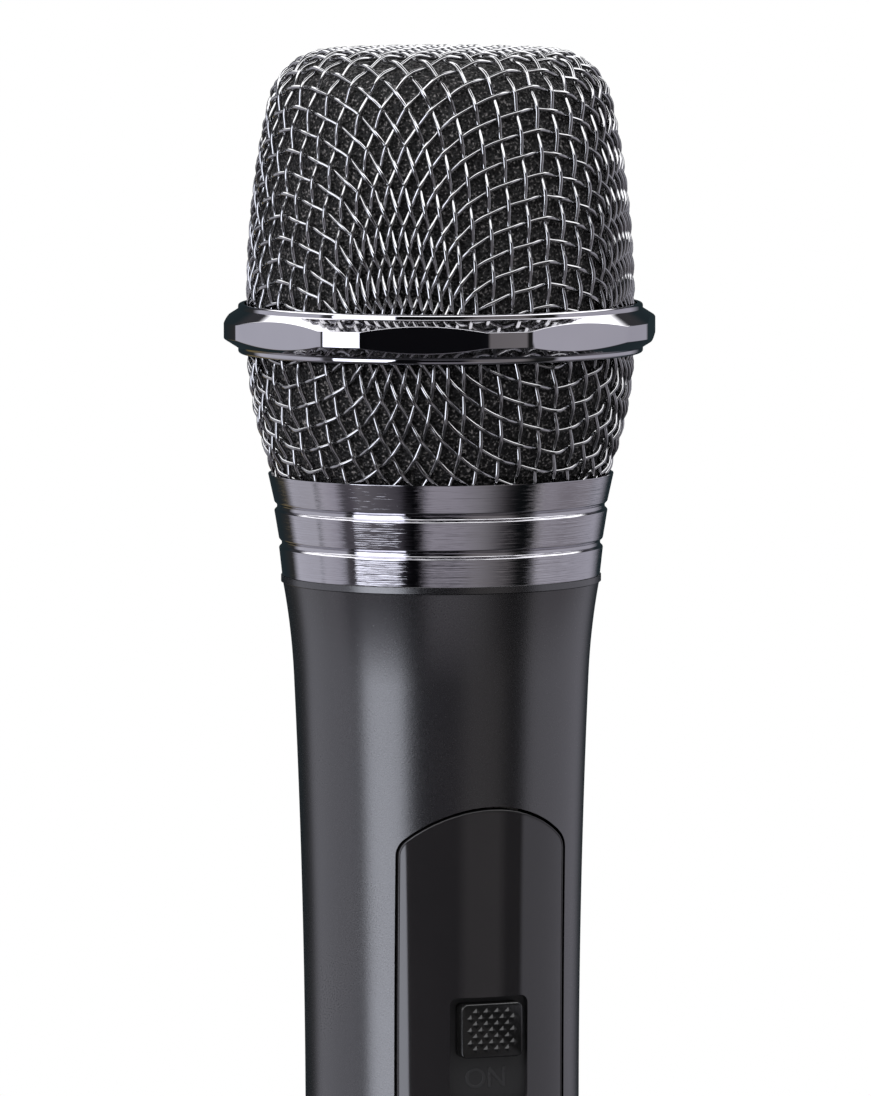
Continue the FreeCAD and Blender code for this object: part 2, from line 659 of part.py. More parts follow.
def knurl_grooves(level):
    """Square bars laid edge down across the knob's face on both diagonals, which leave rows of small points."""
    across, rise = D["knurl_across"], D["knurl_rise"]
    half_x, half_z = D["knob_half_width"], D["knob_half_height"]
    lean = math.atan2(across.number, rise.number)
    count = int(half_x.number / across.number + half_z.number / rise.number)
    bars = []
    for side in (-1, 1):
        for index in range(-count - 1, count + 1):
            bar = doc.addObject("Part::Prism", "knurl_bar")
            bar.Polygon = 4
            bar.Placement = FreeCAD.Placement(AXIS, FreeCAD.Rotation(Vector(0, 1, 0), math.degrees(side * lean)))
            bind(bar, "Circumradius", D["knurl_depth"])
            bind(bar, "Height", 4 * rise * count)
            bind(bar, "Placement.Base.x", (index + 0.5) * across - side * 2 * across * count)
            bind(bar, "Placement.Base.y", -D["knob_face"])
            bind(bar, "Placement.Base.z", level - 2 * rise * count)
            bars.append(bar)
    return bars


def make_slider():
    """The moving pieces of the switch: knob, shutter with its fork, and the switch stem."""
    level = D["knob_height"]
    knob = doc.addObject("PartDesign::Body", "knob_body")
    half_x, half_z = D["knob_half_width"], D["knob_half_height"]
    outline = [
        (-half_x, level - half_z),
        (half_x, level - half_z),
        (half_x, level + half_z),
        (-half_x, level + half_z),
    ]
    face = D["shutter_face"]
    raised = pad(knob, "knob_pad", "XZ_Plane", outline, face, D["knob_face"] - face)
    soften(knob, raised, "knob_corners", D["knob_corner"], Vector(0, 1, 0))
    border = D["knob_border"]
    field = block(
        "knurl_field",
        (-half_x + border, half_x - border),
        (-D["knob_face"] - 1, -face),
        (level - half_z + border, level + half_z - border),
    )
    knurl = common("knurl_cut", field, join("knurl_grooves", knurl_grooves(level)))
    node(cut("knurled_knob", knob, knurl), "switch_knob")

    overlap = D["shutter_overlap"]
    plate_low = D["window_bottom"] - overlap
    plate_high = D["window_top"] + overlap + D["switch_travel"]
    back = D["shutter_back"]
    plate = block(
        "shutter_plate",
        (-D["shutter_half_width"], D["shutter_half_width"]),
        (-face, -back),
        (plate_low, plate_high),
    )
    fork = block(
        "shutter_fork",
        (-D["fork_half_width"], D["fork_half_width"]),
        (-back, -D["fork_end"]),
        (level - D["fork_half_height"], level + D["fork_half_height"]),
    )
    slot = D["stem_half_width"] + D["slide_clearance"]
    notch = block(
        "fork_notch",
        (-slot, slot),
        (-D["stem_end"] - D["slide_clearance"], -D["fork_end"] + 1),
        (level - slot, level + slot),
    )
    node(cut("shutter_cut", join("shutter_join", [plate, fork]), notch), "switch_shutter")

    base_face = D["board_face"] + D["switch_base_depth"]
    foot_back = base_face + D["slide_clearance"]
    foot = block(
        "stem_foot",
        (-D["foot_half_width"], D["foot_half_width"]),
        (-foot_back - D["foot_depth"], -foot_back),
        (level - D["foot_half_height"], level + D["foot_half_height"]),
    )
    stem = block(
        "stem_pin",
        (-D["stem_half_width"], D["stem_half_width"]),
        (-D["stem_end"], -foot_back),
        (level - D["stem_half_width"], level + D["stem_half_width"]),
    )
    node(join("stem_join", [foot, stem]), "switch_stem")


def make_switch_case():
    """The fixed pieces of the switch: metal case with its slot, and the insulating base."""
    middle = D["knob_height"] - D["switch_travel"] / 2
    half_x, half_z = D["can_half_width"], D["can_half_height"]
    wall = D["can_wall"]
    board, depth = D["board_face"], D["can_depth"]
    shell = block("can_shell", (-half_x, half_x), (-board - depth, -board), (middle - half_z, middle + half_z))
    hollow = block(
        "can_hollow",
        (-half_x + wall, half_x - wall),
        (-board - depth + wall, -board + 1),
        (middle - half_z + wall, middle + half_z - wall),
    )
    slot_x = D["stem_half_width"] + D["slide_clearance"]
    slot_z = slot_x + D["switch_travel"] / 2
    slot = block("can_slot", (-slot_x, slot_x), (-board - depth - 1, -board), (middle - slot_z, middle + slot_z))
    node(cut("can_cut", shell, join("can_cavity", [hollow, slot])), "switch_case")
    base = block(
        "base_block",
        (-half_x + wall, half_x - wall),
        (-board - D["switch_base_depth"], -board),
        (middle - half_z + wall, middle + half_z - wall),
    )
    node(base, "switch_base")


# Circuit board

def board_screw_places():
    inset = D["board_screw_inset"]
    return [
        (D["board_screw_x"] * side, height)
        for side in (-1, 1)
        for height in (D["board_bottom"] + inset, D["board_top"] - inset)
    ]


def make_board():
    """The transmitter board, its screws and the parts soldered to it."""
    body = doc.addObject("PartDesign::Body", "board_body")
    half, low, high = D["board_half_width"], D["board_bottom"], D["board_top"]
    back = D["board_back"]
    outline = [(-half, low), (half, low), (half, high), (-half, high)]
    plate = pad(body, "board_plate", "XZ_Plane", outline, back, D["board_thickness"])
    soften(body, plate, "board_corners", D["board_screw_inset"] / 2, Vector(0, 1, 0))
    round_pocket(
        body,
        "board_holes",
        (-D["board_screw_x"], D["board_screw_x"]),
        (low + D["board_screw_inset"], high - D["board_screw_inset"]),
        D["screw_radius"] + D["slide_clearance"],
        back - 1,
        D["board_thickness"] + 2,
    )
    node(body, "circuit_board")

    screws = []
    for index, (x, z) in enumerate(board_screw_places()):
        shank = rod(f"screw_shank_{index}", D["screw_radius"], D["screw_length"],
                    (x, -D["board_face"], z), Vector(0, 1, 0))
        head = rod(f"screw_head_{index}", D["screw_head_radius"], D["screw_head_height"],
                   (x, -D["board_face"], z), Vector(0, -1, 0))
        screws.append(join(f"screw_{index}", [shank, head]))
    node(group("screw_group", screws), "board_screws")

    front = -D["board_face"]
    shield = D["shield_half"]
    middle = high - 3 * D["board_screw_inset"] - shield
    node(
        block(
            "shield_block",
            (-shield, shield),
            (front - D["shield_height"], front),
            (middle - shield, middle + shield),
        ),
        "screening_can",
    )
    chips = []
    chip = D["chip_half"]
    aside = D["can_half_width"] + chip + D["screw_clearance"]
    for name, x, below, tall in (
        ("radio_chip", -aside, 22.0, 1.0),
        ("audio_chip", aside, 22.0, 1.0),
        ("crystal", -aside, 31.0, 1.8),
    ):
        level = middle - shield - below
        chips.append(
            block(
                name,
                (x - chip, x + chip),
                (front - D["chip_height"] * tall, front),
                (level - chip, level + chip),
            )
        )
    node(group("chip_group", chips), "board_chips")
    cans = [
        rod(f"capacitor_{index}", D["capacitor_radius"], D["capacitor_height"],
            (x, -back, middle), Vector(0, 1, 0))
        for index, x in enumerate((-6, 6))
    ]
    node(group("capacitor_group", cans), "board_capacitors")


# Battery end

def make_sleeve():
    """The screwed-on lower handle that covers the cells, and its end cap."""
    outer, bore = D["grip_radius"], D["sleeve_bore"]
    chamfer = D["seam_chamfer"]
    bottom, top = D["cap_height"], D["split_height"]
    node(
        turned(
            "sleeve_tube",
            [
                (bore, bottom),
                (outer - chamfer, bottom),
                (outer, bottom + chamfer),
                (outer, top - chamfer),
                (outer - chamfer, top),
                (bore, top),
            ],
        ),
        "battery_sleeve",
    )
    rounding = D["cap_rounding"]
    plug = D["plug_radius"]
    node(
        turned(
            "cap_turning",
            [
                (0, D["foot_recess"]),
                (D["foot_radius"], D["foot_recess"]),
                (D["foot_radius"] + D["foot_recess"], 0),
                (outer - rounding, 0),
                (outer, rounding),
                (outer, bottom - chamfer),
                (outer - chamfer, bottom),
                (plug, bottom),
                (plug, bottom + D["cap_spigot"]),
                (D["cap_cavity_radius"], bottom + D["cap_spigot"]),
                (D["cap_cavity_radius"], D["cap_wall"]),
                (0, D["cap_wall"]),
            ],
            {3: (rounding, 1)},
        ),
        "end_cap",
    )


def make_spigot():
    """The ring in the handle's lower end: the sleeve screws onto it, and the board rests on its ledges."""
    ring = turned(
        "spigot_ring",
        [
            (D["spigot_bore"], D["spigot_bottom"]),
            (D["spigot_radius"] - D["seam_chamfer"], D["spigot_bottom"]),
            (D["spigot_radius"], D["spigot_bottom"] + D["seam_chamfer"]),
            (D["spigot_radius"], D["split_height"] + D["spigot_insert"]),
            (D["spigot_bore"], D["split_height"] + D["spigot_insert"]),
        ],
    )
    low = D["split_height"] - D["ledge_thickness"]
    high = D["board_bottom"] + 2 * D["board_screw_inset"]
    back = -D["board_back"]
    reach = D["spigot_bore"] + D["panel_play"]
    x = D["board_screw_x"]
    inner = x - D["ledge_half_width"]
    hole_depth = D["ledge_thickness"] + 2
    ledges = []
    for side, name in ((1, "right"), (-1, "left")):
        span = (inner, reach) if side > 0 else (-reach, -inner)
        ledge = block(f"{name}_ledge", span, (back, back + D["ledge_thickness"]), (low, high))
        hole = rod(f"{name}_ledge_hole", D["screw_radius"], hole_depth,
                   (x * side, back - 1, D["board_bottom"] + D["board_screw_inset"]), Vector(0, 1, 0))
        ledges.append(cut(f"{name}_drilled_ledge", ledge, hole))
    node(join("spigot_join", [ring, *ledges]), "battery_spigot")


def make_cradle():
    """The open holder of the two cells, with its contacts and the aerial wire beside them."""
    bottom, plate = D["cradle_bottom"], D["cradle_plate"]
    foot_top = bottom + plate
    cell_low, cell_high = D["cell_bottom"], D["cell_top"]
    head_low = D["cradle_head"]
    head_high = head_low + plate
    spine_front = D["cell_radius"] + D["slide_clearance"]
    foot = rod("cradle_foot", D["cradle_foot_radius"], plate, (0, 0, bottom))
    head = rod("cradle_head", D["cradle_radius"], plate, (0, 0, head_low))
    spine = block(
        "cradle_spine",
        (-D["spine_half_width"], D["spine_half_width"]),
        (spine_front, spine_front + D["spine_thickness"]),
        (bottom, head_high),
    )
    wire_hole = rod("aerial_hole", D["antenna_radius"] + D["slide_clearance"], head_high,
                    (0, -D["antenna_distance"], 0))
    node(cut("cradle_cut", join("cradle_join", [foot, head, spine]), wire_hole), "battery_cradle")
    node(rod("aerial", D["antenna_radius"], D["antenna_top"] - bottom, (0, -D["antenna_distance"], bottom)),
         "aerial_wire")

    half_gap = D["cell_spacing"] / 2
    can_length = D["cell_length"] - D["terminal_height"]
    for side, label, body_low, tip_low in (
        (-1, "left_cell", cell_low, cell_low + can_length),
        (1, "right_cell", cell_low + D["terminal_height"], cell_low),
    ):
        x = half_gap * side
        can = rod(f"{label}_can", D["cell_radius"], can_length, (x, 0, body_low))
        tip = rod(f"{label}_tip", D["terminal_radius"], D["terminal_height"], (x, 0, tip_low))
        node(join(f"{label}_join", [can, tip]), label)

    half = D["contact_half_width"]
    strip = D["contact_thickness"]
    bridge = block("bridge_strip", (-half_gap - half, half_gap + half), (-half + 1, half + 1),
                   (foot_top, foot_top + strip))
    bumps = [
        rod(f"bridge_bump_{index}", half * 0.6, D["contact_bump"], (half_gap * side, 0, foot_top + strip))
        for index, side in enumerate((-1, 1))
    ]
    node(join("bridge_join", [bridge, *bumps]), "contact_bridge")
    tabs = []
    for index, side in enumerate((-1, 1)):
        x = half_gap * side
        tab = block(f"tab_strip_{index}", (x - half, x + half), (-half, half), (head_low - strip, head_low))
        bump = rod(f"tab_bump_{index}", half * 0.6, D["contact_bump"], (x, 0, cell_high))
        tabs.append(join(f"tab_{index}", [tab, bump]))
    node(group("tab_group", tabs), "contact_tabs")


# Head

def lower_radius(inset, level):
    """The lower basket's radius at a level, inset by a size."""
    bend = D["lower_bend"] - inset
    down = D["lower_bend_height"] - level
    return D["basket_radius"] - D["lower_bend"] + (bend.squared() - down.squared()).root()


def make_collar():
    """The three-tier collar: each tier widens a little faster than the one below, with a groove between."""
    bore = D["neck_radius"] + D["screw_clearance"]
    base, top = D["handle_top"], D["collar_top"]
    seat, seat_level = lower_radius(0, top) + D["seat_play"], D["basket_bottom"]
    tier = (D["collar_height"] - 2 * D["groove_width"]) / 3
    depth = D["groove_depth"]
    radius, level = D["collar_radius"], base
    corners = [(bore, base)]
    for index in range(3):
        upper = radius + (D["first_flare"] + D["flare_step"] * index) * tier
        corners += [(radius, level), (upper, level + tier)]
        level = level + tier
        radius = upper
        if index < 2:
            corners.append((upper - depth, level + depth))
            level = level + D["groove_width"]
            corners.append((upper - depth, level - depth))
    corners += [
        (seat, top),
        (lower_radius(0, seat_level) + D["seat_play"], seat_level),
        (bore, seat_level),
    ]
    node(turned("collar_turning", corners), "head_collar")


def make_ring():
    """The faceted anti-roll ring that joins the two baskets: turned, then cut with flat facets."""
    middle = D["ring_height"]
    body = turned(
        "ring_turning",
        [
            (D["ring_bore"], middle - D["ring_half_height"]),
            (D["ring_lip_radius"], middle - D["ring_half_height"]),
            (D["ring_lip_radius"], middle - D["ring_bevel_height"]),
            (D["ring_radius"], middle - D["rim_half_height"]),
            (D["ring_radius"], middle + D["rim_half_height"]),
            (D["ring_lip_radius"], middle + D["ring_bevel_height"]),
            (D["ring_lip_radius"], middle + D["ring_half_height"]),
            (D["ring_bore"], middle + D["ring_half_height"]),
        ],
    )
    reach, near = D["ring_radius"] + 1, D["facet_distance"]
    span = D["ring_radius"] / 2
    outline = [(near, -span), (reach, -span), (reach, span), (near, span)]
    facet = pocket(body, "facet", "XY_Plane", outline, middle - D["ring_half_height"] - 1,
                   2 * D["ring_half_height"] + 2)
    doc.recompute()
    facets = body.newObject("PartDesign::PolarPattern", "facets")
    facets.Originals = [facet]
    facets.Axis = (add_axis(body), [""])
    facets.Angle = 360
    bind(facets, "Occurrences", D["facet_count"])
    body.Tip = facets
    body.Placement = FreeCAD.Placement(AXIS, FreeCAD.Rotation(UP, D["facet_turn"].number))
    bind(body, "Placement.Rotation.Angle", D["facet_turn"])
    node(body, "grille_ring")

    outer = D["basket_radius"] - D["basket_wall"] - D["band_gap"]
    inner = outer - D["band_thickness"]
    low, high = middle - D["band_half_height"], middle + D["band_half_height"]
    node(turned("band_turning", [(inner, low), (outer, low), (outer, high), (inner, high)]), "inner_band")


def add_axis(body):
    return [item for item in body.Origin.OriginFeatures if item.Role == "Z_Axis"][0]


def dome_arcs(inset):
    """The upper basket's profile, inset by a size: side, corner and crown arcs that meet without a kink."""
    foot = D["ring_height"] + D["ring_half_height"]
    side_across = D["basket_radius"] - D["side_bend"]
    across = D["corner_across"] - side_across
    rise = D["corner_height"] - foot
    reach = (across.squared() + rise.squared()).root()
    corner = D["side_bend"] - reach
    drop = D["total_length"] - D["corner_height"]
    crown = (D["corner_across"].squared() + drop.squared() - corner.squared()) / (2 * (drop - corner))
    share = (D["side_bend"] - inset) / reach
    first = (side_across + across * share, foot + rise * share)
    crown_middle = D["total_length"] - crown
    crown_reach = crown - corner
    share = (crown - inset) / crown_reach
    second = (D["corner_across"] * share, crown_middle + (D["corner_height"] - crown_middle) * share)
    return {
        "foot": (D["basket_radius"] - inset, foot),
        "first": first,
        "second": second,
        "top": (as_size(0), D["total_length"] - inset),
        "side": D["side_bend"] - inset,
        "corner": corner - inset,
        "crown": crown - inset,
    }


def dome(name, outer_inset, inner_inset, bottom):
    """A turned liner under the upper basket: its outer face follows the profile, its inner one is faceted."""
    outer, inner = dome_arcs(outer_inset), dome_arcs(inner_inset)
    corners = [
        (outer["foot"][0], bottom),
        outer["foot"],
        outer["first"],
        outer["second"],
        outer["top"],
        inner["top"],
        inner["second"],
        inner["first"],
        inner["foot"],
        (inner["foot"][0], bottom),
    ]
    bends = {
        1: (outer["side"], 1),
        2: (outer["corner"], 1),
        3: (outer["crown"], 1),
    }
    return turned(name, corners, bends)


def lower_shell(name, outer_inset, inner_inset, bottom, top):
    """A turned band between two insets of the lower basket's curved side."""
    corners = [
        (lower_radius(inner_inset, bottom), bottom),
        (lower_radius(outer_inset, bottom), bottom),
        (lower_radius(outer_inset, top), top),
        (lower_radius(inner_inset, top), top),
    ]
    bends = {1: (D["lower_bend"] - outer_inset, 1), 3: (D["lower_bend"] - inner_inset, -1)}
    return turned(name, corners, bends)


class WovenNet:
    """Where the wires of a flat woven mesh cross once it is pressed over a turned form.

    The wires keep their length between crossings, so each cell only shears: the crossings are found
    one after another from the pole, each at one pitch from its two neighbours. One quarter is worked
    out, and the other three are turned copies of it.
    """

    def __init__(self, profile, pitch):
        self.profile = profile
        self.pitch = pitch
        self.cross = {(0, 0): (0.0, 0.0, profile[0][1])}
        self.normal = {(0, 0): (0.0, 0.0, 1.0)}
        count = int(profile[-1][2] / pitch)
        for step in range(1, count + 1):
            across, level, _ = self.at_arc(step * pitch)
            self.place(step, 0, (across, 0.0, level))
            self.place(0, step, (0.0, across, level))
        for ring in range(2, 2 * count + 1):
            for i in range(max(1, ring - count), min(ring, count + 1)):
                self.settle(i, ring - i)

    def at_arc(self, length):
        """The profile point (radius, height, arc) at an arc length from the pole."""
        for before, after in zip(self.profile, self.profile[1:]):
            if after[2] >= length:
                share = (length - before[2]) / (after[2] - before[2])
                return tuple(a + (b - a) * share for a, b in zip(before, after))
        return self.profile[-1]

    def onto_form(self, point):
        """The nearest point of the form, the normal there, and its arc length."""
        radius = math.hypot(point[0], point[1])
        best = None
        for before, after in zip(self.profile, self.profile[1:]):
            step = (after[0] - before[0], after[1] - before[1])
            size = math.hypot(*step)
            share = ((radius - before[0]) * step[0] + (point[2] - before[1]) * step[1]) / size**2
            share = min(1.0, max(0.0, share))
            near = (before[0] + step[0] * share, before[1] + step[1] * share)
            gap = math.hypot(radius - near[0], point[2] - near[1])
            if best is None or gap < best[0]:
                lean = (-step[1] / size, step[0] / size)
                best = (gap, near, lean, before[2] + (after[2] - before[2]) * share)
        _, near, lean, arc = best
        out = (point[0] / radius, point[1] / radius)
        normal = (out[0] * lean[0], out[1] * lean[0], lean[1])
        return (out[0] * near[0], out[1] * near[0], near[1]), normal, arc

    def place(self, i, j, point):
        point, normal, arc = self.onto_form(point)
        if arc < self.profile[-1][2] - 1e-6:
            self.cross[i, j] = point
            self.normal[i, j] = normal

    def settle(self, i, j):
        """Finds crossing (i, j) from its two neighbours nearer the pole."""
        first, second = self.cross.get((i - 1, j)), self.cross.get((i, j - 1))
        inner = self.cross.get((i - 1, j - 1))
        if first is None or second is None or inner is None:
            return
        point = tuple(a + b - c for a, b, c in zip(first, second, inner))
        for _ in range(25):
            pull = [0.0, 0.0, 0.0]
            for anchor in (first, second):
                away = [p - a for p, a in zip(point, anchor)]
                length = math.sqrt(sum(part * part for part in away))
                for axis in range(3):
                    pull[axis] += 0.6 * (self.pitch - length) * away[axis] / length
            point, _, _ = self.onto_form(tuple(p + q for p, q in zip(point, pull)))
        self.place(i, j, point)

    def full(self, turn):
        """All crossings and normals as vectors, turned by an angle in degrees."""
        points = {}
        for (i, j), point in self.cross.items():
            place, normal = Vector(*point), Vector(*self.normal[i, j])
            for quarter in range(4):
                spin = FreeCAD.Rotation(UP, turn + 90 * quarter)
                points.setdefault((i, j), (spin.multVec(place), spin.multVec(normal)))
                i, j = -j, i
        return points


def sampled(arcs, step, straight):
    """Profile points (radius, height, arc length) along arcs of (start, finish, radius, side)."""
    points = [(arcs[0][0][0], arcs[0][0][1], 0.0)]
    for start, finish, radius, side in arcs:
        curve = arc_through(Vector(*start, 0), Vector(*finish, 0), radius, side).toShape()
        for point in curve.discretize(max(3, int(curve.Length / step)))[1:]:
            gap = math.hypot(point.x - points[-1][0], point.y - points[-1][1])
            points.append((point.x, point.y, points[-1][2] + gap))
    last = points[-1]
    points.append((last[0], last[1] + straight, last[2] + abs(straight)))
    return points


def opening_corners(corners, normal, web):
    """The corners of a cell's opening, half a web inside its sides, or None where the cell is too lean."""
    middle = (corners[0] + corners[1] + corners[2] + corners[3]) * 0.25
    flat = [point - normal * (point - middle).dot(normal) for point in corners]
    inset = []
    for index, point in enumerate(flat):
        ahead = (flat[(index + 1) % 4] - point).normalize()
        behind = (flat[index - 1] - point).normalize()
        inset.append(point + (ahead + behind) * (web / 2 / max(ahead.cross(behind).Length, 0.2)))
    for index in (0, 1):
        if (inset[index + 1] - inset[index]).dot(flat[index + 1] - flat[index]) < 0.2:
            return None
    return inset


def net_solid(crossings, web, wall, low, high, outward):
    """A flat-faced shell over the crossings with a gap in each cell that lies between two heights."""
    points, triangles, sides, gaps = [], [], {}, 0

    def add(point):
        points.append(point)
        return len(points) - 1

    def quad(a, b, c, d):
        triangles.extend([(a, b, c), (a, c, d)] if outward > 0 else [(a, c, b), (a, d, c)])

    skin = {
        key: (add(point + normal * (wall / 2)), add(point - normal * (wall / 2)))
        for key, (point, normal) in crossings.items()
    }
    for i, j in list(crossings):
        keys = [(i, j), (i + 1, j), (i + 1, j + 1), (i, j + 1)]
        if not all(key in crossings for key in keys):
            continue
        corners = [crossings[key][0] for key in keys]
        normal = (corners[2] - corners[0]).cross(corners[3] - corners[1]).normalize()
        opening = opening_corners(corners, normal, web)
        heights = [point.z for point in opening] if opening else [low - 1]
        near, far = ([skin[key][side] for key in keys] for side in (0, 1))
        for index, key in enumerate(keys):
            sides.setdefault(frozenset((key, keys[(index + 1) % 4])), []).append((near, far, index))
        if min(heights) < low or max(heights) > high:
            quad(*near)
            quad(*reversed(far))
            continue
        gaps += 1
        near_hole = [add(point + normal * (wall / 2)) for point in opening]
        far_hole = [add(point - normal * (wall / 2)) for point in opening]
        for index in range(4):
            ahead = (index + 1) % 4
            quad(near[index], near[ahead], near_hole[ahead], near_hole[index])
            quad(far[ahead], far[index], far_hole[index], far_hole[ahead])
            quad(near_hole[index], near_hole[ahead], far_hole[ahead], far_hole[index])
    for owners in sides.values():
        if len(owners) == 1:
            near, far, index = owners[0]
            ahead = (index + 1) % 4
            quad(near[ahead], near[index], far[index], far[ahead])
    shell = Part.Shape()
    shell.makeShapeFromMesh((points, triangles), 0.001)
    return Part.makeSolid(Part.Shell(shell.Faces)), gaps


def weave(label, profile, turn, heights, span, outward):
    """One basket: wires pressed from flat mesh, every second one drawn, trimmed to a span of heights."""
    crossings = WovenNet(profile, 2 * D["wire_pitch"].number).full(turn)
    web, wall = 2 * D["wire_diameter"].number, D["basket_wall"].number
    solid, gaps = net_solid(crossings, web, wall, *heights, outward)
    reach = 2 * D["ring_radius"].number
    trim = Part.makeBox(2 * reach, 2 * reach, span[1] - span[0], Vector(-reach, -reach, span[0]))
    basket = doc.addObject("Part::Feature", f"{label}_weave")
    basket.Shape = solid.common(trim).removeSplitter().Solids[0]
    print(label, "gaps", gaps)
    return node(basket, label)


def numbers(pair):
    return (as_size(pair[0]).number, as_size(pair[1]).number)


def make_baskets():
    """The two wire baskets: the domed upper one and the tapering lower one."""
    middle, gap, half_wall = D["ring_height"], D["basket_gap"], D["basket_wall"] / 2
    rim = 2 * D["wire_diameter"].number
    arcs = dome_arcs(half_wall)
    upper = sampled(
        [
            (numbers(arcs["top"]), numbers(arcs["second"]), arcs["crown"].number, -1),
            (numbers(arcs["second"]), numbers(arcs["first"]), arcs["corner"].number, -1),
            (numbers(arcs["first"]), numbers(arcs["foot"]), arcs["side"].number, -1),
        ],
        0.6,
        -12.0,
    )
    low = (middle + D["ring_half_height"]).number - rim
    high = D["total_length"].number
    span = ((middle + gap).number, high + 1)
    weave("upper_grille", upper, D["upper_weave_turn"].number, (low, high), span, 1)

    # The lower basket's mesh was pressed from the collar end, so a flat bottom places its wires; it is cut away.
    bottom = D["basket_bottom"]
    top = middle - gap
    edge = (lower_radius(half_wall, bottom).number, bottom.number)
    corner = 4.0
    flat = (edge[0] - corner, edge[1] - 0.75 * corner)
    lower = sampled(
        [
            ((0.0, flat[1]), flat, 2000.0, 1),
            (flat, edge, 1.1 * corner, 1),
            (edge, numbers((lower_radius(half_wall, top), top)), (D["lower_bend"] - half_wall).number, 1),
        ],
        0.6,
        12.0,
    )
    heights = (bottom.number + D["collar_seat"].number, (middle - D["ring_half_height"]).number + rim)
    weave("lower_grille", lower, D["lower_weave_turn"].number, heights, (bottom.number, top.number), -1)


def make_foam():
    """The foam that lines both baskets."""
    start = D["basket_wall"] + D["foam_gap"]
    above = D["ring_height"] + D["band_half_height"] + D["basket_gap"]
    node(dome("foam_dome", start, start + D["foam_thickness"], above), "upper_foam")
    bottom = D["basket_bottom"] + D["slide_clearance"]
    top = D["ring_height"] - D["band_half_height"] - D["basket_gap"]
    band = lower_shell("foam_band", start, start + D["lower_foam_thickness"], bottom, top)
    node(band, "lower_foam")


# Capsule

def make_seat():
    """The plastic seat on the handle's neck, with two ledges that hold the top of the board."""
    skirt = D["neck_bore"] - D["slide_clearance"]
    level = D["neck_top"]
    bottom = level - D["seat_skirt_depth"]
    inner = skirt - D["seat_skirt_wall"]
    cup = turned(
        "seat_turning",
        [
            (D["lead_hole_radius"], level),
            (inner, level),
            (inner, bottom),
            (skirt, bottom),
            (skirt, level),
            (D["seat_flange_radius"], level),
            (D["seat_flange_radius"], level + D["seat_flange"]),
            (D["lead_hole_radius"], level + D["seat_flange"]),
        ],
    )
    back = -D["board_back"]
    x, half = D["board_screw_x"], D["ledge_half_width"]
    low = D["board_top"] - 2 * D["board_screw_inset"]
    ledges = []
    for side, name in ((1, "right"), (-1, "left")):
        middle = x * side
        ledge = block(f"{name}_hanger", (middle - half, middle + half), (back, back + D["ledge_thickness"]),
                      (low, level))
        hole = rod(f"{name}_hanger_hole", D["screw_radius"], D["ledge_thickness"] + 2,
                   (middle, back - 1, D["board_top"] - D["board_screw_inset"]), Vector(0, 1, 0))
        ledges.append(cut(f"{name}_drilled_hanger", ledge, hole))
    node(join("seat_join", [cup, *ledges]), "capsule_seat")


def make_mount():
    """The rubber mount: a base, a waist that gives, and a cup that grips the capsule."""
    base, floor = D["seat_top"], D["capsule_base"]
    step, grip, bore = D["mount_step"], D["mount_grip"], D["mount_bore"]
    node(
        turned(
            "mount_turning",
            [
                (bore, base),
                (D["mount_radius"], base),
                (D["mount_radius"], base + step),
                (D["mount_waist"], base + 1.7 * step),
                (D["mount_waist"], floor - 1.7 * step),
                (D["mount_radius"], floor - step),
                (D["mount_radius"], floor + D["mount_rim"]),
                (grip, floor + D["mount_rim"]),
                (grip, floor),
                (bore, floor),
            ],
        ),
        "shock_mount",
    )


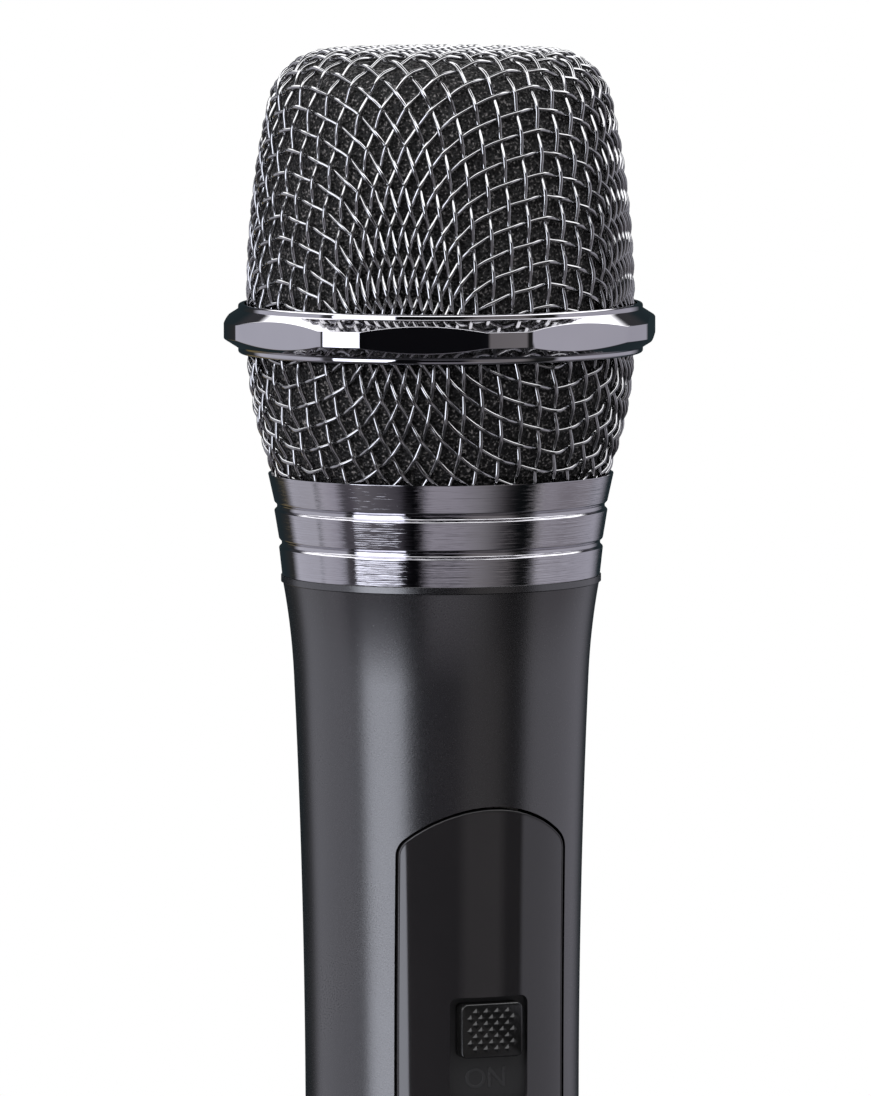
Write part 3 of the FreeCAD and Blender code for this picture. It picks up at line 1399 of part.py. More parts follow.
def make_capsule():
    """The dynamic capsule: can, frame, magnet system, coil, diaphragm, clamp ring and perforated front."""
    base = D["capsule_base"]
    outer, inner = D["capsule_radius"], D["capsule_bore"]
    floor = base + D["capsule_floor"]
    rim = base + D["capsule_length"]
    hole = D["lead_hole_radius"]
    node(
        turned(
            "can_turning",
            [(hole, base), (outer, base), (outer, rim), (inner, rim), (inner, floor), (hole, floor)],
        ),
        "capsule_can",
    )
    yoke, yoke_top = D["yoke_radius"], floor + D["yoke_height"]
    bore = D["yoke_bore"]
    shelf = floor + D["yoke_floor"]
    node(
        turned("yoke_turning", [(0, floor), (yoke, floor), (yoke, yoke_top), (bore, yoke_top), (bore, shelf), (0, shelf)]),
        "magnet_yoke",
    )
    magnet_top = shelf + D["magnet_height"]
    node(rod("magnet_disc", D["magnet_radius"], D["magnet_height"], (0, 0, shelf)), "magnet")
    node(rod("pole_disc", D["pole_radius"], yoke_top - magnet_top, (0, 0, magnet_top)), "pole_plate")
    coil_low = yoke_top - D["coil_drop"]
    coil_high = coil_low + D["coil_height"]
    coil_in = D["coil_inner_radius"]
    coil_out = coil_in + D["coil_thickness"]
    node(
        turned("coil_turning", [(coil_in, coil_low), (coil_out, coil_low), (coil_out, coil_high), (coil_in, coil_high)]),
        "voice_coil",
    )
    frame_in = yoke + D["slide_clearance"]
    frame_top = coil_high - D["frame_step"]
    node(
        turned(
            "frame_turning",
            [
                (frame_in, floor),
                (D["frame_radius"], floor),
                (D["frame_radius"], coil_high),
                (D["frame_radius"] - D["gasket_width"], coil_high),
                (D["frame_radius"] - D["gasket_width"], frame_top),
                (frame_in, frame_top),
            ],
        ),
        "capsule_frame",
    )
    sheet_edge, sheet_thick = D["diaphragm_radius"], D["diaphragm_thickness"]
    rise = D["dome_height"]
    bend = (coil_out.squared() + rise.squared()) / (2 * rise)
    node(
        turned(
            "diaphragm_turning",
            [
                (0, coil_high + rise),
                (coil_out, coil_high),
                (sheet_edge, coil_high),
                (sheet_edge, coil_high + sheet_thick),
                (coil_out, coil_high + sheet_thick),
                (0, coil_high + rise + sheet_thick),
            ],
            {0: (bend, -1), 4: (bend, 1)},
        ),
        "diaphragm",
    )
    clamp = coil_high + sheet_thick
    clamp_in = D["frame_radius"] - D["gasket_width"]
    node(
        turned(
            "gasket_turning",
            [
                (clamp_in, clamp),
                (D["frame_radius"], clamp),
                (D["frame_radius"], clamp + D["gasket_height"]),
                (clamp_in, clamp + D["gasket_height"]),
            ],
        ),
        "clamp_ring",
    )
    make_front(rim)
    terminal = D["terminal_board_radius"]
    low = base - D["terminal_board_height"]
    node(rod("terminal_disc", terminal, base - low, (0, 0, low)), "terminal_board")
    make_leads(low)


def make_front(rim):
    """The perforated front that closes the capsule: one middle hole and a ring of holes."""
    outer = D["front_cap_radius"]
    inner = D["capsule_radius"] + D["slide_clearance"]
    top = rim + D["front_cap_thickness"]
    low = rim - D["front_cap_skirt"]
    body = turned(
        "front_turning", [(0, rim), (inner, rim), (inner, low), (outer, low), (outer, top), (0, top)]
    )
    sketch = add_sketch(body, "middle_hole_outline", "XY_Plane", rim - 1)
    edge = sketch.addGeometry(Part.Circle(AXIS, UP, D["front_hole_radius"].number), False)
    sketch.addConstraint(Sketcher.Constraint("Coincident", edge, 3, -1, 1))
    rule = sketch.addConstraint(Sketcher.Constraint("Radius", edge, D["front_hole_radius"].number))
    sketch.renameConstraint(rule, "hole")
    bind(sketch, "Constraints.hole", D["front_hole_radius"])
    middle = body.newObject("PartDesign::Pocket", "middle_hole")
    middle.Profile = sketch
    middle.Reversed = True
    bind(middle, "Length", D["front_cap_thickness"] + 2)

    sketch = add_sketch(body, "ring_hole_outline", "XY_Plane", rim - 1)
    edge = sketch.addGeometry(
        Part.Circle(Vector(D["front_hole_circle"].number, 0, 0), UP, D["front_hole_radius"].number), False
    )
    pin_corner(sketch, (edge, 3), (D["front_hole_circle"], 0), 0)
    rule = sketch.addConstraint(Sketcher.Constraint("Radius", edge, D["front_hole_radius"].number))
    sketch.renameConstraint(rule, "hole")
    bind(sketch, "Constraints.hole", D["front_hole_radius"])
    hole = body.newObject("PartDesign::Pocket", "ring_hole")
    hole.Profile = sketch
    hole.Reversed = True
    bind(hole, "Length", D["front_cap_thickness"] + 2)
    doc.recompute()
    holes = body.newObject("PartDesign::PolarPattern", "ring_holes")
    holes.Originals = [hole]
    holes.Axis = (add_axis(body), [""])
    holes.Angle = 360
    bind(holes, "Occurrences", D["front_hole_count"])
    body.Tip = holes
    node(body, "capsule_front")


def make_leads(top):
    """Two leads from the terminal board down to the back of the circuit board: straight runs and two bends."""
    radius, bend = D["lead_radius"].number, D["lead_bend"].number
    shift = (D["board_back"] - D["lead_radius"]).number
    angle = math.acos(1 - shift / (2 * bend))
    drop = bend * math.sin(angle)
    high = top.number
    elbow = D["handle_top"].number
    low = D["board_top"].number - 2 * D["board_screw_inset"].number
    half = math.sin(angle / 2)
    solids = []
    for side in (-1, 1):
        x = D["lead_spread"].number * side

        def at(y, z):
            return Vector(x, y, z)

        first = at(-bend * (1 - math.cos(angle / 2)), elbow - bend * half)
        turn = at(-shift / 2, elbow - drop)
        second = at(-shift + bend * (1 - math.cos(angle / 2)), elbow - 2 * drop + bend * half)
        route = Part.Wire([
            Part.LineSegment(at(0, high), at(0, elbow)).toShape(),
            Part.Arc(at(0, elbow), first, turn).toShape(),
            Part.Arc(turn, second, at(-shift, elbow - 2 * drop)).toShape(),
            Part.LineSegment(at(-shift, elbow - 2 * drop), at(-shift, low)).toShape(),
        ])
        section = Part.Wire(Part.Circle(at(0, high), UP, radius).toShape())
        lead = route.makePipeShell([section], True, False)
        expected = math.pi * radius * radius * route.Length
        print("lead volume", round(lead.Volume / expected, 3), "of its section times its length")
        solids.append(lead)
    leads = doc.addObject("Part::Feature", "leads")
    leads.Shape = Part.makeCompound(solids)
    node(leads, "capsule_leads")


def check_objects():
    """Stops the build if any object failed or any piece has no sound solid."""
    doc.recompute()
    for item in doc.Objects:
        if "Invalid" in item.State or "Error" in item.State:
            raise RuntimeError(f"{item.Name} failed: {item.State}")
    for item in nodes:
        shape = item.Shape
        if shape.isNull() or not shape.isValid() or not shape.Solids:
            raise RuntimeError(f"{item.Label} has no valid solid")


def main():
    make_handle()
    make_panel()
    make_slider()
    make_switch_case()
    make_board()
    make_sleeve()
    make_spigot()
    make_cradle()
    make_collar()
    make_ring()
    make_baskets()
    make_foam()
    make_seat()
    make_mount()
    make_capsule()
    check_objects()
    os.makedirs("parts", exist_ok=True)
    for item in nodes:
        item.Shape.exportStep(f"parts/{item.Label}.step")
    print(len(nodes), "nodes")


main()
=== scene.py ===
import math

import bpy
import numpy as np
from mathutils import Matrix, Vector


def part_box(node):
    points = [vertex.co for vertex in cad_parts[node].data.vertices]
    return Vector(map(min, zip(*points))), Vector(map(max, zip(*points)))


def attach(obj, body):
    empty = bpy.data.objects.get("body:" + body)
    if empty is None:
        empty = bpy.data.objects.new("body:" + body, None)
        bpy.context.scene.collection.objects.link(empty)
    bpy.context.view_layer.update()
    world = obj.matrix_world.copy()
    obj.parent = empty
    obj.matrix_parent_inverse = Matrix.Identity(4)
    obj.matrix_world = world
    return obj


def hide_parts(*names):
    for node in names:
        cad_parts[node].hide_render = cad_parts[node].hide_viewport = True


# A cordless karaoke microphone. Sizes are millimetres until MM turns them into metres.
MM = 0.001
FULL_TURN = 2 * math.pi
MERGE_DISTANCE = 0.004
ROUND_STEPS = 8

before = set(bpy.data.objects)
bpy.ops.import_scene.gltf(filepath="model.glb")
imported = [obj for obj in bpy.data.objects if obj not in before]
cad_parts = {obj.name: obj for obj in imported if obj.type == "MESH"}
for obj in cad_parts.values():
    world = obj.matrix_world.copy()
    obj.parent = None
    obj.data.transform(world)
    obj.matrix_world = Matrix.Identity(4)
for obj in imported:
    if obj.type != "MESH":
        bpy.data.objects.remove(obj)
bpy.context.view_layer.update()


def levels(node):
    """Lowest and highest level of a node in millimetres."""
    low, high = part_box(node)
    return low[2] / MM, high[2] / MM


def radius_of(node):
    """Largest reach of a node from the axis along X, in millimetres."""
    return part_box(node)[1][0] / MM


# Sizes read from the frame
TOP = levels("upper_grille")[1]
RING_LOW, RING_HIGH = levels("grille_ring")
RING_LEVEL = (RING_LOW + RING_HIGH) / 2
RING_HALF = (RING_HIGH - RING_LOW) / 2
HANDLE_TOP, COLLAR_TOP = levels("head_collar")
NECK_TOP = levels("handle_shell")[1]
CAP_TOP, SPLIT = levels("battery_sleeve")
CAP_PLUG_TOP = levels("end_cap")[1]
GRIP = radius_of("battery_sleeve")
BASKET = radius_of("upper_grille")
KNOB_LOW, KNOB_HIGH = levels("switch_knob")
KNOB_HALF = radius_of("switch_knob")
KNOB_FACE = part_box("switch_knob")[0][1] / MM
SHUTTER_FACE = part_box("switch_shutter")[0][1] / MM

# Handle
FLARE_START = 107.5
FLARE_MIDDLE = 165.0
FLARE_RADIUS = 18.8
FLARE_END_RADIUS = 20.15
LIP_RADIUS = 20.4
LIP_HEIGHT = 0.9
LIP_SLOPE = 0.12
BORE = 15.8
NECK_CORE = 18.1
NECK_BORE = 16.9
THREAD_CREST = 18.62
THREAD_PITCH = 1.5
THREAD_END = 1.2
THREAD_FOOT = 0.42
THREAD_FLAT = 0.1
SPIGOT_ROOT, SPIGOT_CREST = 0.05, 0.25
EDGE_BREAK = 0.3
BORE_TAPER = 3.0
SLEEVE_BORE = 16.1
CAP_PLUG = 15.98
CAP_BORE = 12.8
CAP_FLOOR = 3.0
FOOT_BORE = 12.6
FOOT_SINK = 0.6
FOOT_ROUND = 2.5

# Switch panel
PANEL_HALF = 11.5
PANEL_TOP = 149.85
PANEL_BOTTOM = 88.0
PANEL_BEND = 16.0
PANEL_SHOULDER = 3.0
PANEL_SINK = 0.12
PANEL_ROLL = 0.15
PANEL_GAP = 0.38
PANEL_THICK = 2.9
RIM_STEP = 0.8
CROWN_SHORT = 1.6
WINDOW_HALF = 5.25
WINDOW_TOP = 125.6
WINDOW_BOTTOM = 112.1
WINDOW_CORNER = 1.0
TRACK_HALF = 6.22
TRACK_FACE = 15.62
TRACK_LOW, TRACK_HIGH = 106.1, 131.6
CUTTER_DEPTH = 40.0

# Thumb knob and lettering
KNOB_CORNER = 0.75
KNOB_SINK = 0.22
STUD_ACROSS, STUD_UP = 1.44, 1.58
STUD_FOOT, STUD_TIP, STUD_HEIGHT = 0.56, 0.10, 0.24
STUD_LIFT = 0.10
STUD_MARGIN, STUD_END_MARGIN = 0.62, 0.55
MARK_DEPTH, MARK_ROUND = 0.05, 0.03

# Wire baskets
WIRE = 0.56
WIRE_PITCH = 2.75
WIRE_LOCK = 1.45
WIRE_STIFFNESS = 0.12
SETTLING_ROUNDS = 250
FALLING_ROUNDS = 14
FALLING_SHARE = 0.55
EDGE_PLAY = 0.01
WIRE_STEPS = 6
SIDE_BEND = 119.0
CORNER_ACROSS = 13.9
CORNER_LEVEL = 236.6
LOWER_BEND = 48.0
LOWER_BEND_LEVEL = 208.0
UPPER_TURN = 13.0
LOWER_TURN = 13.3
LOWER_TWIST = -0.39
WIRE_END = 0.4
UPPER_BLANK_FOOT = 12.0
LOWER_BLANK_TOP = 14.0
LOWER_BLANK_CORNER = ((4.0, 3.0), (1.4, 2.2))
FOAM_THICK, LOWER_FOAM_THICK = 3.2, 2.4
FOAM_PLAY = 0.02
FOAM_FROM_RING = 3.4
FOAM_CELL, FOAM_ROUGHNESS = 0.8, 0.22

# Ring
FACETS = 8
FACET_TURN = 19.4
FACET_DISTANCE = 26.9
RIM = 28.05
RIM_HALF = 1.0
RING_LIP = 25.75
RING_BORE = 25.0
RING_BEAD = 0.34
RING_SHOULDER = 0.70

# Collar
TIERS = 3
COLLAR_BORE = 18.7
COLLAR_INSET = 0.15
GROOVE, GROOVE_DEPTH = 1.15, 0.35
TIER_SLOPE, TIER_SLOPE_STEP = 0.11, 0.055
SEAT_DEPTH = 1.7

# Camera, its azimuth in degrees from the switch side
CAMERA_AZIMUTH = -20.8
CAMERA_DISTANCE = 1193.0
CAMERA_HEIGHT = 284.4
CAMERA_AIM = 181.1
CAMERA_ASIDE = -0.70
CAMERA_ROLL = -0.12
IMAGE_HEIGHT = 1096
FOCAL_PIXELS = 9395
SENSOR = 36.0


# Shader expressions

class Value:
    """One shader socket; arithmetic on it adds the Math nodes."""

    def __init__(self, board, socket):
        self.board = board
        self.socket = socket

    def math(self, operation, *others):
        return self.board.node("ShaderNodeMath", {"operation": operation}, dict(enumerate((self, *others))))

    def __add__(self, other):
        return self.math("ADD", other)

    def __sub__(self, other):
        return self.math("SUBTRACT", other)

    def __rsub__(self, other):
        return self.math("MULTIPLY_ADD", -1.0, other)

    def __mul__(self, other):
        return self.math("MULTIPLY", other)

    def __truediv__(self, other):
        return self.math("DIVIDE", other)

    __radd__ = __add__
    __rmul__ = __mul__

    def between(self, low, high):
        """0 below low, 1 above high and smooth between them."""
        inputs = {"Value": self, "From Min": low, "From Max": high}
        return self.board.node("ShaderNodeMapRange", {"interpolation_type": "SMOOTHSTEP"}, inputs)


class Board:
    """The node board of one material or of the world."""

    def __init__(self, owner):
        owner.use_nodes = True
        self.tree = owner.node_tree
        self.tree.nodes.clear()

    def node(self, kind, settings=None, inputs=None, output=0):
        """Adds a node: its settings first, then the values or links of its sockets."""
        item = self.tree.nodes.new(kind)
        for key, value in (settings or {}).items():
            if key == "stops":
                self.set_stops(item.color_ramp, value)
            else:
                setattr(item, key, value)
        for key, value in (inputs or {}).items():
            if isinstance(value, Value):
                self.tree.links.new(value.socket, item.inputs[key])
            else:
                item.inputs[key].default_value = value
        return Value(self, item.outputs[output]) if item.outputs else None

    @staticmethod
    def set_stops(ramp, stops):
        while len(ramp.elements) < len(stops):
            ramp.elements.new(1.0)
        for element, (place, shade) in zip(ramp.elements, stops):
            element.position = place
            element.color = (*shade, 1.0)

    def place(self):
        return self.node("ShaderNodeTexCoord", output="Object")

    def scaled(self, vector, scale):
        return self.node("ShaderNodeMapping", None, {"Vector": vector, "Scale": scale})

    def noise(self, vector, scale, detail=2.0, roughness=0.5):
        inputs = {"Vector": vector, "Scale": scale, "Detail": detail, "Roughness": roughness}
        return self.node("ShaderNodeTexNoise", None, inputs, output="Fac")

    def cells(self, vector, scale, feature="F1"):
        inputs = {"Vector": vector, "Scale": scale}
        return self.node("ShaderNodeTexVoronoi", {"feature": feature}, inputs, output="Distance")

    def mix(self, share, *shades):
        """Between two shades, each a socket or red, green and blue."""
        first, second = (shade if isinstance(shade, Value) else (*shade, 1.0) for shade in shades)
        inputs = {"Factor": share, 6: first, 7: second}
        return self.node("ShaderNodeMix", {"data_type": "RGBA"}, inputs, output=2)

    def bump(self, height, distance, strength=1.0):
        inputs = {"Height": height, "Distance": distance, "Strength": strength}
        return self.node("ShaderNodeBump", None, inputs)

    def surface(self, inputs):
        shader = self.node("ShaderNodeBsdfPrincipled", None, inputs)
        self.node("ShaderNodeOutputMaterial", None, {"Surface": shader})


def finish(recipe):
    """Turns a recipe for a board and the place on a piece into a maker of named materials."""

    def made(name, *values):
        material = bpy.data.materials.new(name)
        board = Board(material)
        recipe(board, board.place(), *values)
        return material

    return made


@finish
def satin_paint(board, place):
    """Charcoal paint with a fine grain, a little uneven in gloss."""
    grain = board.noise(place, 5200.0, 2.0)
    cloud = board.noise(place, 60.0, 3.0)
    tint = board.mix(cloud.between(0.3, 0.7), (0.0030, 0.0030, 0.0040), (0.0042, 0.0038, 0.0046))
    board.surface({
        "Base Color": tint,
        "Roughness": grain * 0.08 + cloud * 0.04 + 0.20,
        "IOR": 1.65,
        "Specular IOR Level": 1.0,
        "Normal": board.bump(grain, 0.00002, 0.35),
    })


@finish
def black_chrome(board, place, lines):
    """Dark plated metal; lines is the depth of its fine turning marks in metres."""
    turning = board.noise(board.scaled(place, (70.0, 70.0, 5200.0)), 1.0, 3.0, 0.7)
    cloud = board.noise(place, 140.0, 2.0)
    board.surface({
        "Base Color": board.mix(cloud, (0.50, 0.49, 0.52), (0.56, 0.55, 0.575)),
        "Metallic": 1.0,
        "Roughness": turning * 0.03 + 0.02,
        "Normal": board.bump(turning, lines, 1.0),
    })


@finish
def wire_metal(board, place):
    """Gunmetal plating, brighter in patches."""
    patch = board.noise(place, 900.0, 3.0)
    board.surface({
        "Base Color": board.mix(patch, (0.32, 0.32, 0.325), (0.52, 0.52, 0.525)),
        "Metallic": 1.0,
        "Roughness": patch * 0.06 + 0.03,
        "Normal": board.bump(board.noise(place, 6000.0, 2.0), 0.000006, 0.5),
    })


@finish
def foam_black(board, place):
    """Open-cell foam: dark cells with slightly shiny webs between them, flecks on the webs lighter as painted
    glints.
    """
    warp = board.noise(place, 1500.0, 3.0, 0.6)
    cell = board.cells(place, 2300.0)
    web = cell.between(0.30, 0.55)
    # Painted glints: sparse lighter flecks on the webs stand in for light caught by the strands; the foam
    # itself is the dark shade.
    painted_glint = board.noise(place, 2900.0, 1.0).between(0.54, 0.70)
    board.surface({
        "Base Color": board.mix(web * painted_glint, (0.002, 0.002, 0.002), (0.17, 0.16, 0.16)),
        "Roughness": 0.86 - web * 0.3,
        "Normal": board.bump(cell + warp, 0.00035, 0.9),
    })


@finish
def gloss_black(board, place):
    """Polished black moulding with the faintest ripple."""
    ripple = board.noise(place, 90.0, 2.0)
    board.surface({
        "Base Color": board.mix(ripple, (0.010, 0.0095, 0.0105), (0.013, 0.012, 0.013)),
        "Roughness": ripple * 0.02 + 0.045,
        "Specular IOR Level": 0.7,
        "Normal": board.bump(ripple, 0.00002, 0.25),
    })


@finish
def moulded(board, place, dark, light, roughness, grain_scale=2600.0):
    """Moulded plastic with a spark-eroded grain."""
    grain = board.noise(place, grain_scale, 3.0)
    cloud = board.noise(place, 120.0, 2.0)
    board.surface({
        "Base Color": board.mix(cloud, dark, light),
        "Roughness": grain * 0.16 + (roughness - 0.08),
        "Normal": board.bump(grain, 0.00003, 0.4),
    })


@finish
def sheet_metal(board, place, dark, light, roughness):
    """Rolled or drawn metal with faint scratches along its length."""
    scratch = board.noise(board.scaled(place, (2600.0, 2600.0, 90.0)), 1.0, 3.0)
    board.surface({
        "Base Color": board.mix(scratch, dark, light),
        "Metallic": 1.0,
        "Roughness": scratch * 0.18 + (roughness - 0.09),
        "Normal": board.bump(scratch, 0.00001, 0.4),
    })


@finish
def board_green(board, place):
    """Circuit board: solder mask, paler over the copper tracks."""
    track = board.cells(board.scaled(place, (420.0, 1.0, 260.0)), 1.0, "DISTANCE_TO_EDGE")
    copper = 1 - track.between(0.03, 0.07)
    board.surface({
        "Base Color": board.mix(copper, (0.006, 0.060, 0.022), (0.020, 0.150, 0.050)),
        "Roughness": copper * 0.10 + 0.28,
        "Normal": board.bump(copper, 0.00004, 0.6),
    })


@finish
def wound_copper(board, place):
    """Enamelled wire wound in even coils, darker in the grooves as painted shade and lighter on the crests as
    painted highlight.
    """
    turn_relief_and_shade = board.node("ShaderNodeTexWave", {"bands_direction": "Z"}, {"Vector": place, "Scale": 1600.0})
    board.surface({
        # Painted shade and highlight: the copper is darkened in the grooves and lightened on the crests of
        # the winding.
        "Base Color": board.mix(turn_relief_and_shade, (0.30, 0.09, 0.03), (0.75, 0.30, 0.12)),
        "Metallic": 1.0,
        "Roughness": turn_relief_and_shade * 0.1 + 0.25,
        "Normal": board.bump(turn_relief_and_shade, 0.0001, 0.8),
    })


@finish
def cell_jacket(board, place, node):
    """Plain cell sleeve: dark body, bright ends and a pale band below the terminal."""
    low, high = levels(node)
    parts = board.node("ShaderNodeSeparateXYZ", None, {0: place}, output="Z")
    span = (high - low) * MM
    share = (parts - low * MM) / span
    ends = 1 - share.between(0.030, 0.034) * (1 - share.between(0.966, 0.970))
    band = share.between(0.760, 0.762)
    scuff = board.noise(place, 300.0, 4.0)
    jacket = board.mix(band, (0.025, 0.026, 0.030), (0.28, 0.29, 0.30))
    board.surface({
        "Base Color": board.mix(ends, jacket, (0.62, 0.61, 0.59)),
        "Metallic": ends,
        "Roughness": scuff * 0.15 + 0.22,
        "Normal": board.bump(scuff, 0.00003, 0.3),
    })


# Modelling

def deselect():
    bpy.ops.object.select_all(action="DESELECT")


def only(piece):
    deselect()
    piece.select_set(True)
    bpy.context.view_layer.objects.active = piece


def select_whole():
    """Selects the whole mesh that is being edited."""
    bpy.ops.mesh.select_all(action="SELECT")


def edit(piece):
    only(piece)
    bpy.ops.object.mode_set(mode="EDIT")
    select_whole()


def close_outward():
    """Turns the faces of the mesh being edited outwards and leaves edit mode."""
    select_whole()
    bpy.ops.mesh.normals_make_consistent(inside=False)
    bpy.ops.object.mode_set(mode="OBJECT")


def new_outline(name, points, closed):
    """A thin wire through (x, z) points in the XZ plane, drawn point by point in edit mode."""
    deselect()
    bpy.ops.mesh.primitive_plane_add(size=MM, location=(0, 0, 0))
    piece = bpy.context.object
    piece.name = piece.data.name = name
    bpy.ops.object.mode_set(mode="EDIT")
    select_whole()
    bpy.ops.mesh.merge(type="CENTER")
    select_whole()
    bpy.ops.transform.translate(value=(points[0][0] * MM, 0, points[0][1] * MM))
    for before, after in zip(points, points[1:]):
        step = ((after[0] - before[0]) * MM, 0, (after[1] - before[1]) * MM)
        bpy.ops.mesh.extrude_region_move(TRANSFORM_OT_translate={"value": step})
    if closed:
        select_whole()
        bpy.ops.mesh.edge_face_add()
    return piece


def turned(name, outline, segments=192, smooth=30.0):
    """Turns (radius, level) points about the axis into a closed piece, as on a lathe."""
    piece = new_outline(name, outline, False)
    select_whole()
    bpy.ops.mesh.spin(steps=segments, angle=FULL_TURN, center=(0, 0, 0), axis=(0, 0, 1))
    select_whole()
    bpy.ops.mesh.remove_doubles(threshold=MERGE_DISTANCE * MM)
    close_outward()
    smooth_edges(piece, smooth)
    return piece


def smooth_edges(piece, angle):
    only(piece)
    bpy.ops.object.shade_smooth_by_angle(angle=math.radians(angle))


def apply_modifier(piece, kind, **settings):
    only(piece)
    modifier = piece.modifiers.new(kind.lower(), kind)
    for key, value in settings.items():
        setattr(modifier, key, value)
    bpy.ops.object.modifier_apply(modifier=modifier.name)


def soften(piece, width, segments=2, angle=35.0):
    """Breaks the sharp edges of a piece with a small round."""
    apply_modifier(
        piece,
        "BEVEL",
        width=width * MM,
        segments=segments,
        limit_method="ANGLE",
        angle_limit=math.radians(angle),
        use_clamp_overlap=True,
        harden_normals=True,
    )
    smooth_edges(piece, 35.0)


def drawn_wire(name, paths, radius, resolution, closed=False):
    """Round wire along each path of places, as one mesh."""
    curve = bpy.data.curves.new(name, "CURVE")
    curve.dimensions = "3D"
    curve.bevel_depth = radius * MM
    curve.bevel_resolution = resolution
    curve.use_fill_caps = not closed
    for path in paths:
        spline = curve.splines.new("POLY")
        spline.points.add(len(path) - 1)
        spline.use_cyclic_u = closed
        for point, place in zip(spline.points, path):
            point.co = (*(Vector(place) * MM), 1.0)
    piece = bpy.data.objects.new(name, curve)
    bpy.context.collection.objects.link(piece)
    only(piece)
    bpy.ops.object.convert(target="MESH")
    bpy.ops.object.shade_smooth()
    return bpy.context.object


def cut_with(piece, tool, operation="DIFFERENCE"):
    apply_modifier(piece, "BOOLEAN", object=tool, operation=operation, solver="EXACT")
    bpy.data.objects.remove(tool, do_unlink=True)


def arc_points(middle, radius, start, end, count):
    """Points on an arc between two angles in degrees."""
    points = []
    for step in range(count + 1):
        angle = math.radians(start + (end - start) * step / count)
        points.append((middle[0] + radius * math.cos(angle), middle[1] + radius * math.sin(angle)))
    return points


def rounded_outline(corners, radii):
    """Points of a closed outline whose corners are rounded."""
    points = []
    count = len(corners)
    for index, corner in enumerate(corners):
        here = Vector(corner)
        back = (Vector(corners[index - 1]) - here).normalized()
        ahead = (Vector(corners[(index + 1) % count]) - here).normalized()
        radius = radii[index]
        if not radius:
            points.append(corner)
            continue
        half = back.angle(ahead) / 2
        reach = radius / math.tan(half)
        middle = here + (back + ahead).normalized() * (radius / math.sin(half))
        first, last = here + back * reach - middle, here + ahead * reach - middle
        turn = first.angle_signed(last)
        for step in range(ROUND_STEPS + 1):
            spin = Matrix.Rotation(-turn * step / ROUND_STEPS, 2)
            points.append(tuple(middle + spin @ first))
    return points


def corners_of(half, low, high):
    """Corners of an upright rectangle, from the upper right one round by the left."""
    return [(half, high), (-half, high), (-half, low), (half, low)]


def rounded_prism(name, corners, radii, depth=CUTTER_DEPTH):
    """A prism from the front to depth behind it, its outline corners rounded."""
    piece = new_outline(name, rounded_outline(corners, radii), True)
    select_whole()
    bpy.ops.mesh.extrude_region_move(TRANSFORM_OT_translate={"value": (0, -depth * MM, 0)})
    close_outward()
    return piece


def panel_outline(grow):
    """Corners of the arched panel outline with their radii: two crowns as short chords, rounded shoulders."""
    half, bend = PANEL_HALF + grow, PANEL_BEND + grow
    top, bottom = PANEL_TOP + grow, PANEL_BOTTOM - grow
    spread = math.degrees(math.asin((half - CROWN_SHORT) / bend))
    crown = arc_points((0, top - bend), bend, 90 - spread, 90 + spread, 16)
    base = arc_points((0, bottom + bend), bend, 270 - spread, 270 + spread, 16)
    rise = bend - math.sqrt(bend * bend - half * half)
    corners = [(half, top - rise), *crown, (-half, top - rise)]
    corners += [(-half, bottom + rise), *base, (half, bottom + rise)]
    shoulder = PANEL_SHOULDER + grow
    radii = [shoulder] + [0] * len(crown) + [shoulder] * 2 + [0] * len(base) + [shoulder]
    return corners, radii


def ride(piece, body, slot, material, *nodes):
    """Gives a finished piece its material and body, and hides the nodes that it stands for; slot is not used.
    """
    piece.data.materials.clear()
    piece.data.materials.append(material)
    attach(piece, body)
    if nodes:
        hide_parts(*nodes)
    return piece


def flare_arc(start, end, lean):
    """Middle and radius of an arc from start to end (radius, level) that leaves start at a slope."""
    growth, rise = end[0] - start[0], end[1] - start[1]
    across, down = math.cos(lean), -math.sin(lean)
    radius = (growth**2 + rise**2) / (2 * (growth * across + rise * down))
    return (start[0] + radius * across, start[1] + radius * down), radius


def handle_side(inset, low):
    """Points of the handle's outer face from a level up to its bead."""
    first, second = (GRIP, FLARE_START), (FLARE_RADIUS, FLARE_MIDDLE)
    third = (FLARE_END_RADIUS, HANDLE_TOP - LIP_HEIGHT)
    middle, radius = flare_arc(first, second, 0.0)
    lean = math.asin((second[1] - first[1]) / radius)
    points = [(GRIP, low)]
    points += arc_points(middle, radius, 180, 180 - math.degrees(lean), 24)
    middle, radius = flare_arc(second, third, lean)
    end = math.degrees(math.asin((third[1] - middle[1]) / radius))
    points += arc_points(middle, radius, 180 - math.degrees(lean), 180 - end, 12)[1:]
    return [(across - inset, level) for across, level in points]


# Woven wire

class Form:
    """A turned form that flat mesh is pressed over: profile points from the pole outwards."""

    def __init__(self, points, outward):
        self.points = points
        self.outward = outward
        self.lengths = [0.0]
        for before, after in zip(points, points[1:]):
            self.lengths.append(self.lengths[-1] + math.dist(before, after))

    def at(self, length):
        for index in range(1, len(self.points)):
            if self.lengths[index] >= length:
                break
        share = (length - self.lengths[index - 1]) / (self.lengths[index] - self.lengths[index - 1])
        return Vector(self.points[index - 1]).lerp(Vector(self.points[index]), share)

    def nearest(self, place):
        """The nearest place on the form, the outward normal there and the length along the profile."""
        flat = Vector((math.hypot(place.x, place.y), place.z))
        best = None
        for index in range(1, len(self.points)):
            before, after = Vector(self.points[index - 1]), Vector(self.points[index])
            run = after - before
            share = min(1.0, max(0.0, (flat - before).dot(run) / run.length_squared))
            near = before + run * share
            gap = (flat - near).length
            if best is None or gap < best[0]:
                best = (gap, near, run, self.lengths[index - 1] + run.length * share)
        _, near, run, length = best
        away = Vector((place.x, place.y, 0)).normalized() if flat.x > 1e-9 else Vector((0, 0, 0))
        normal = (away * -run.y + Vector((0, 0, run.x))).normalized() * self.outward
        return away * near.x + Vector((0, 0, near.y)), normal, length


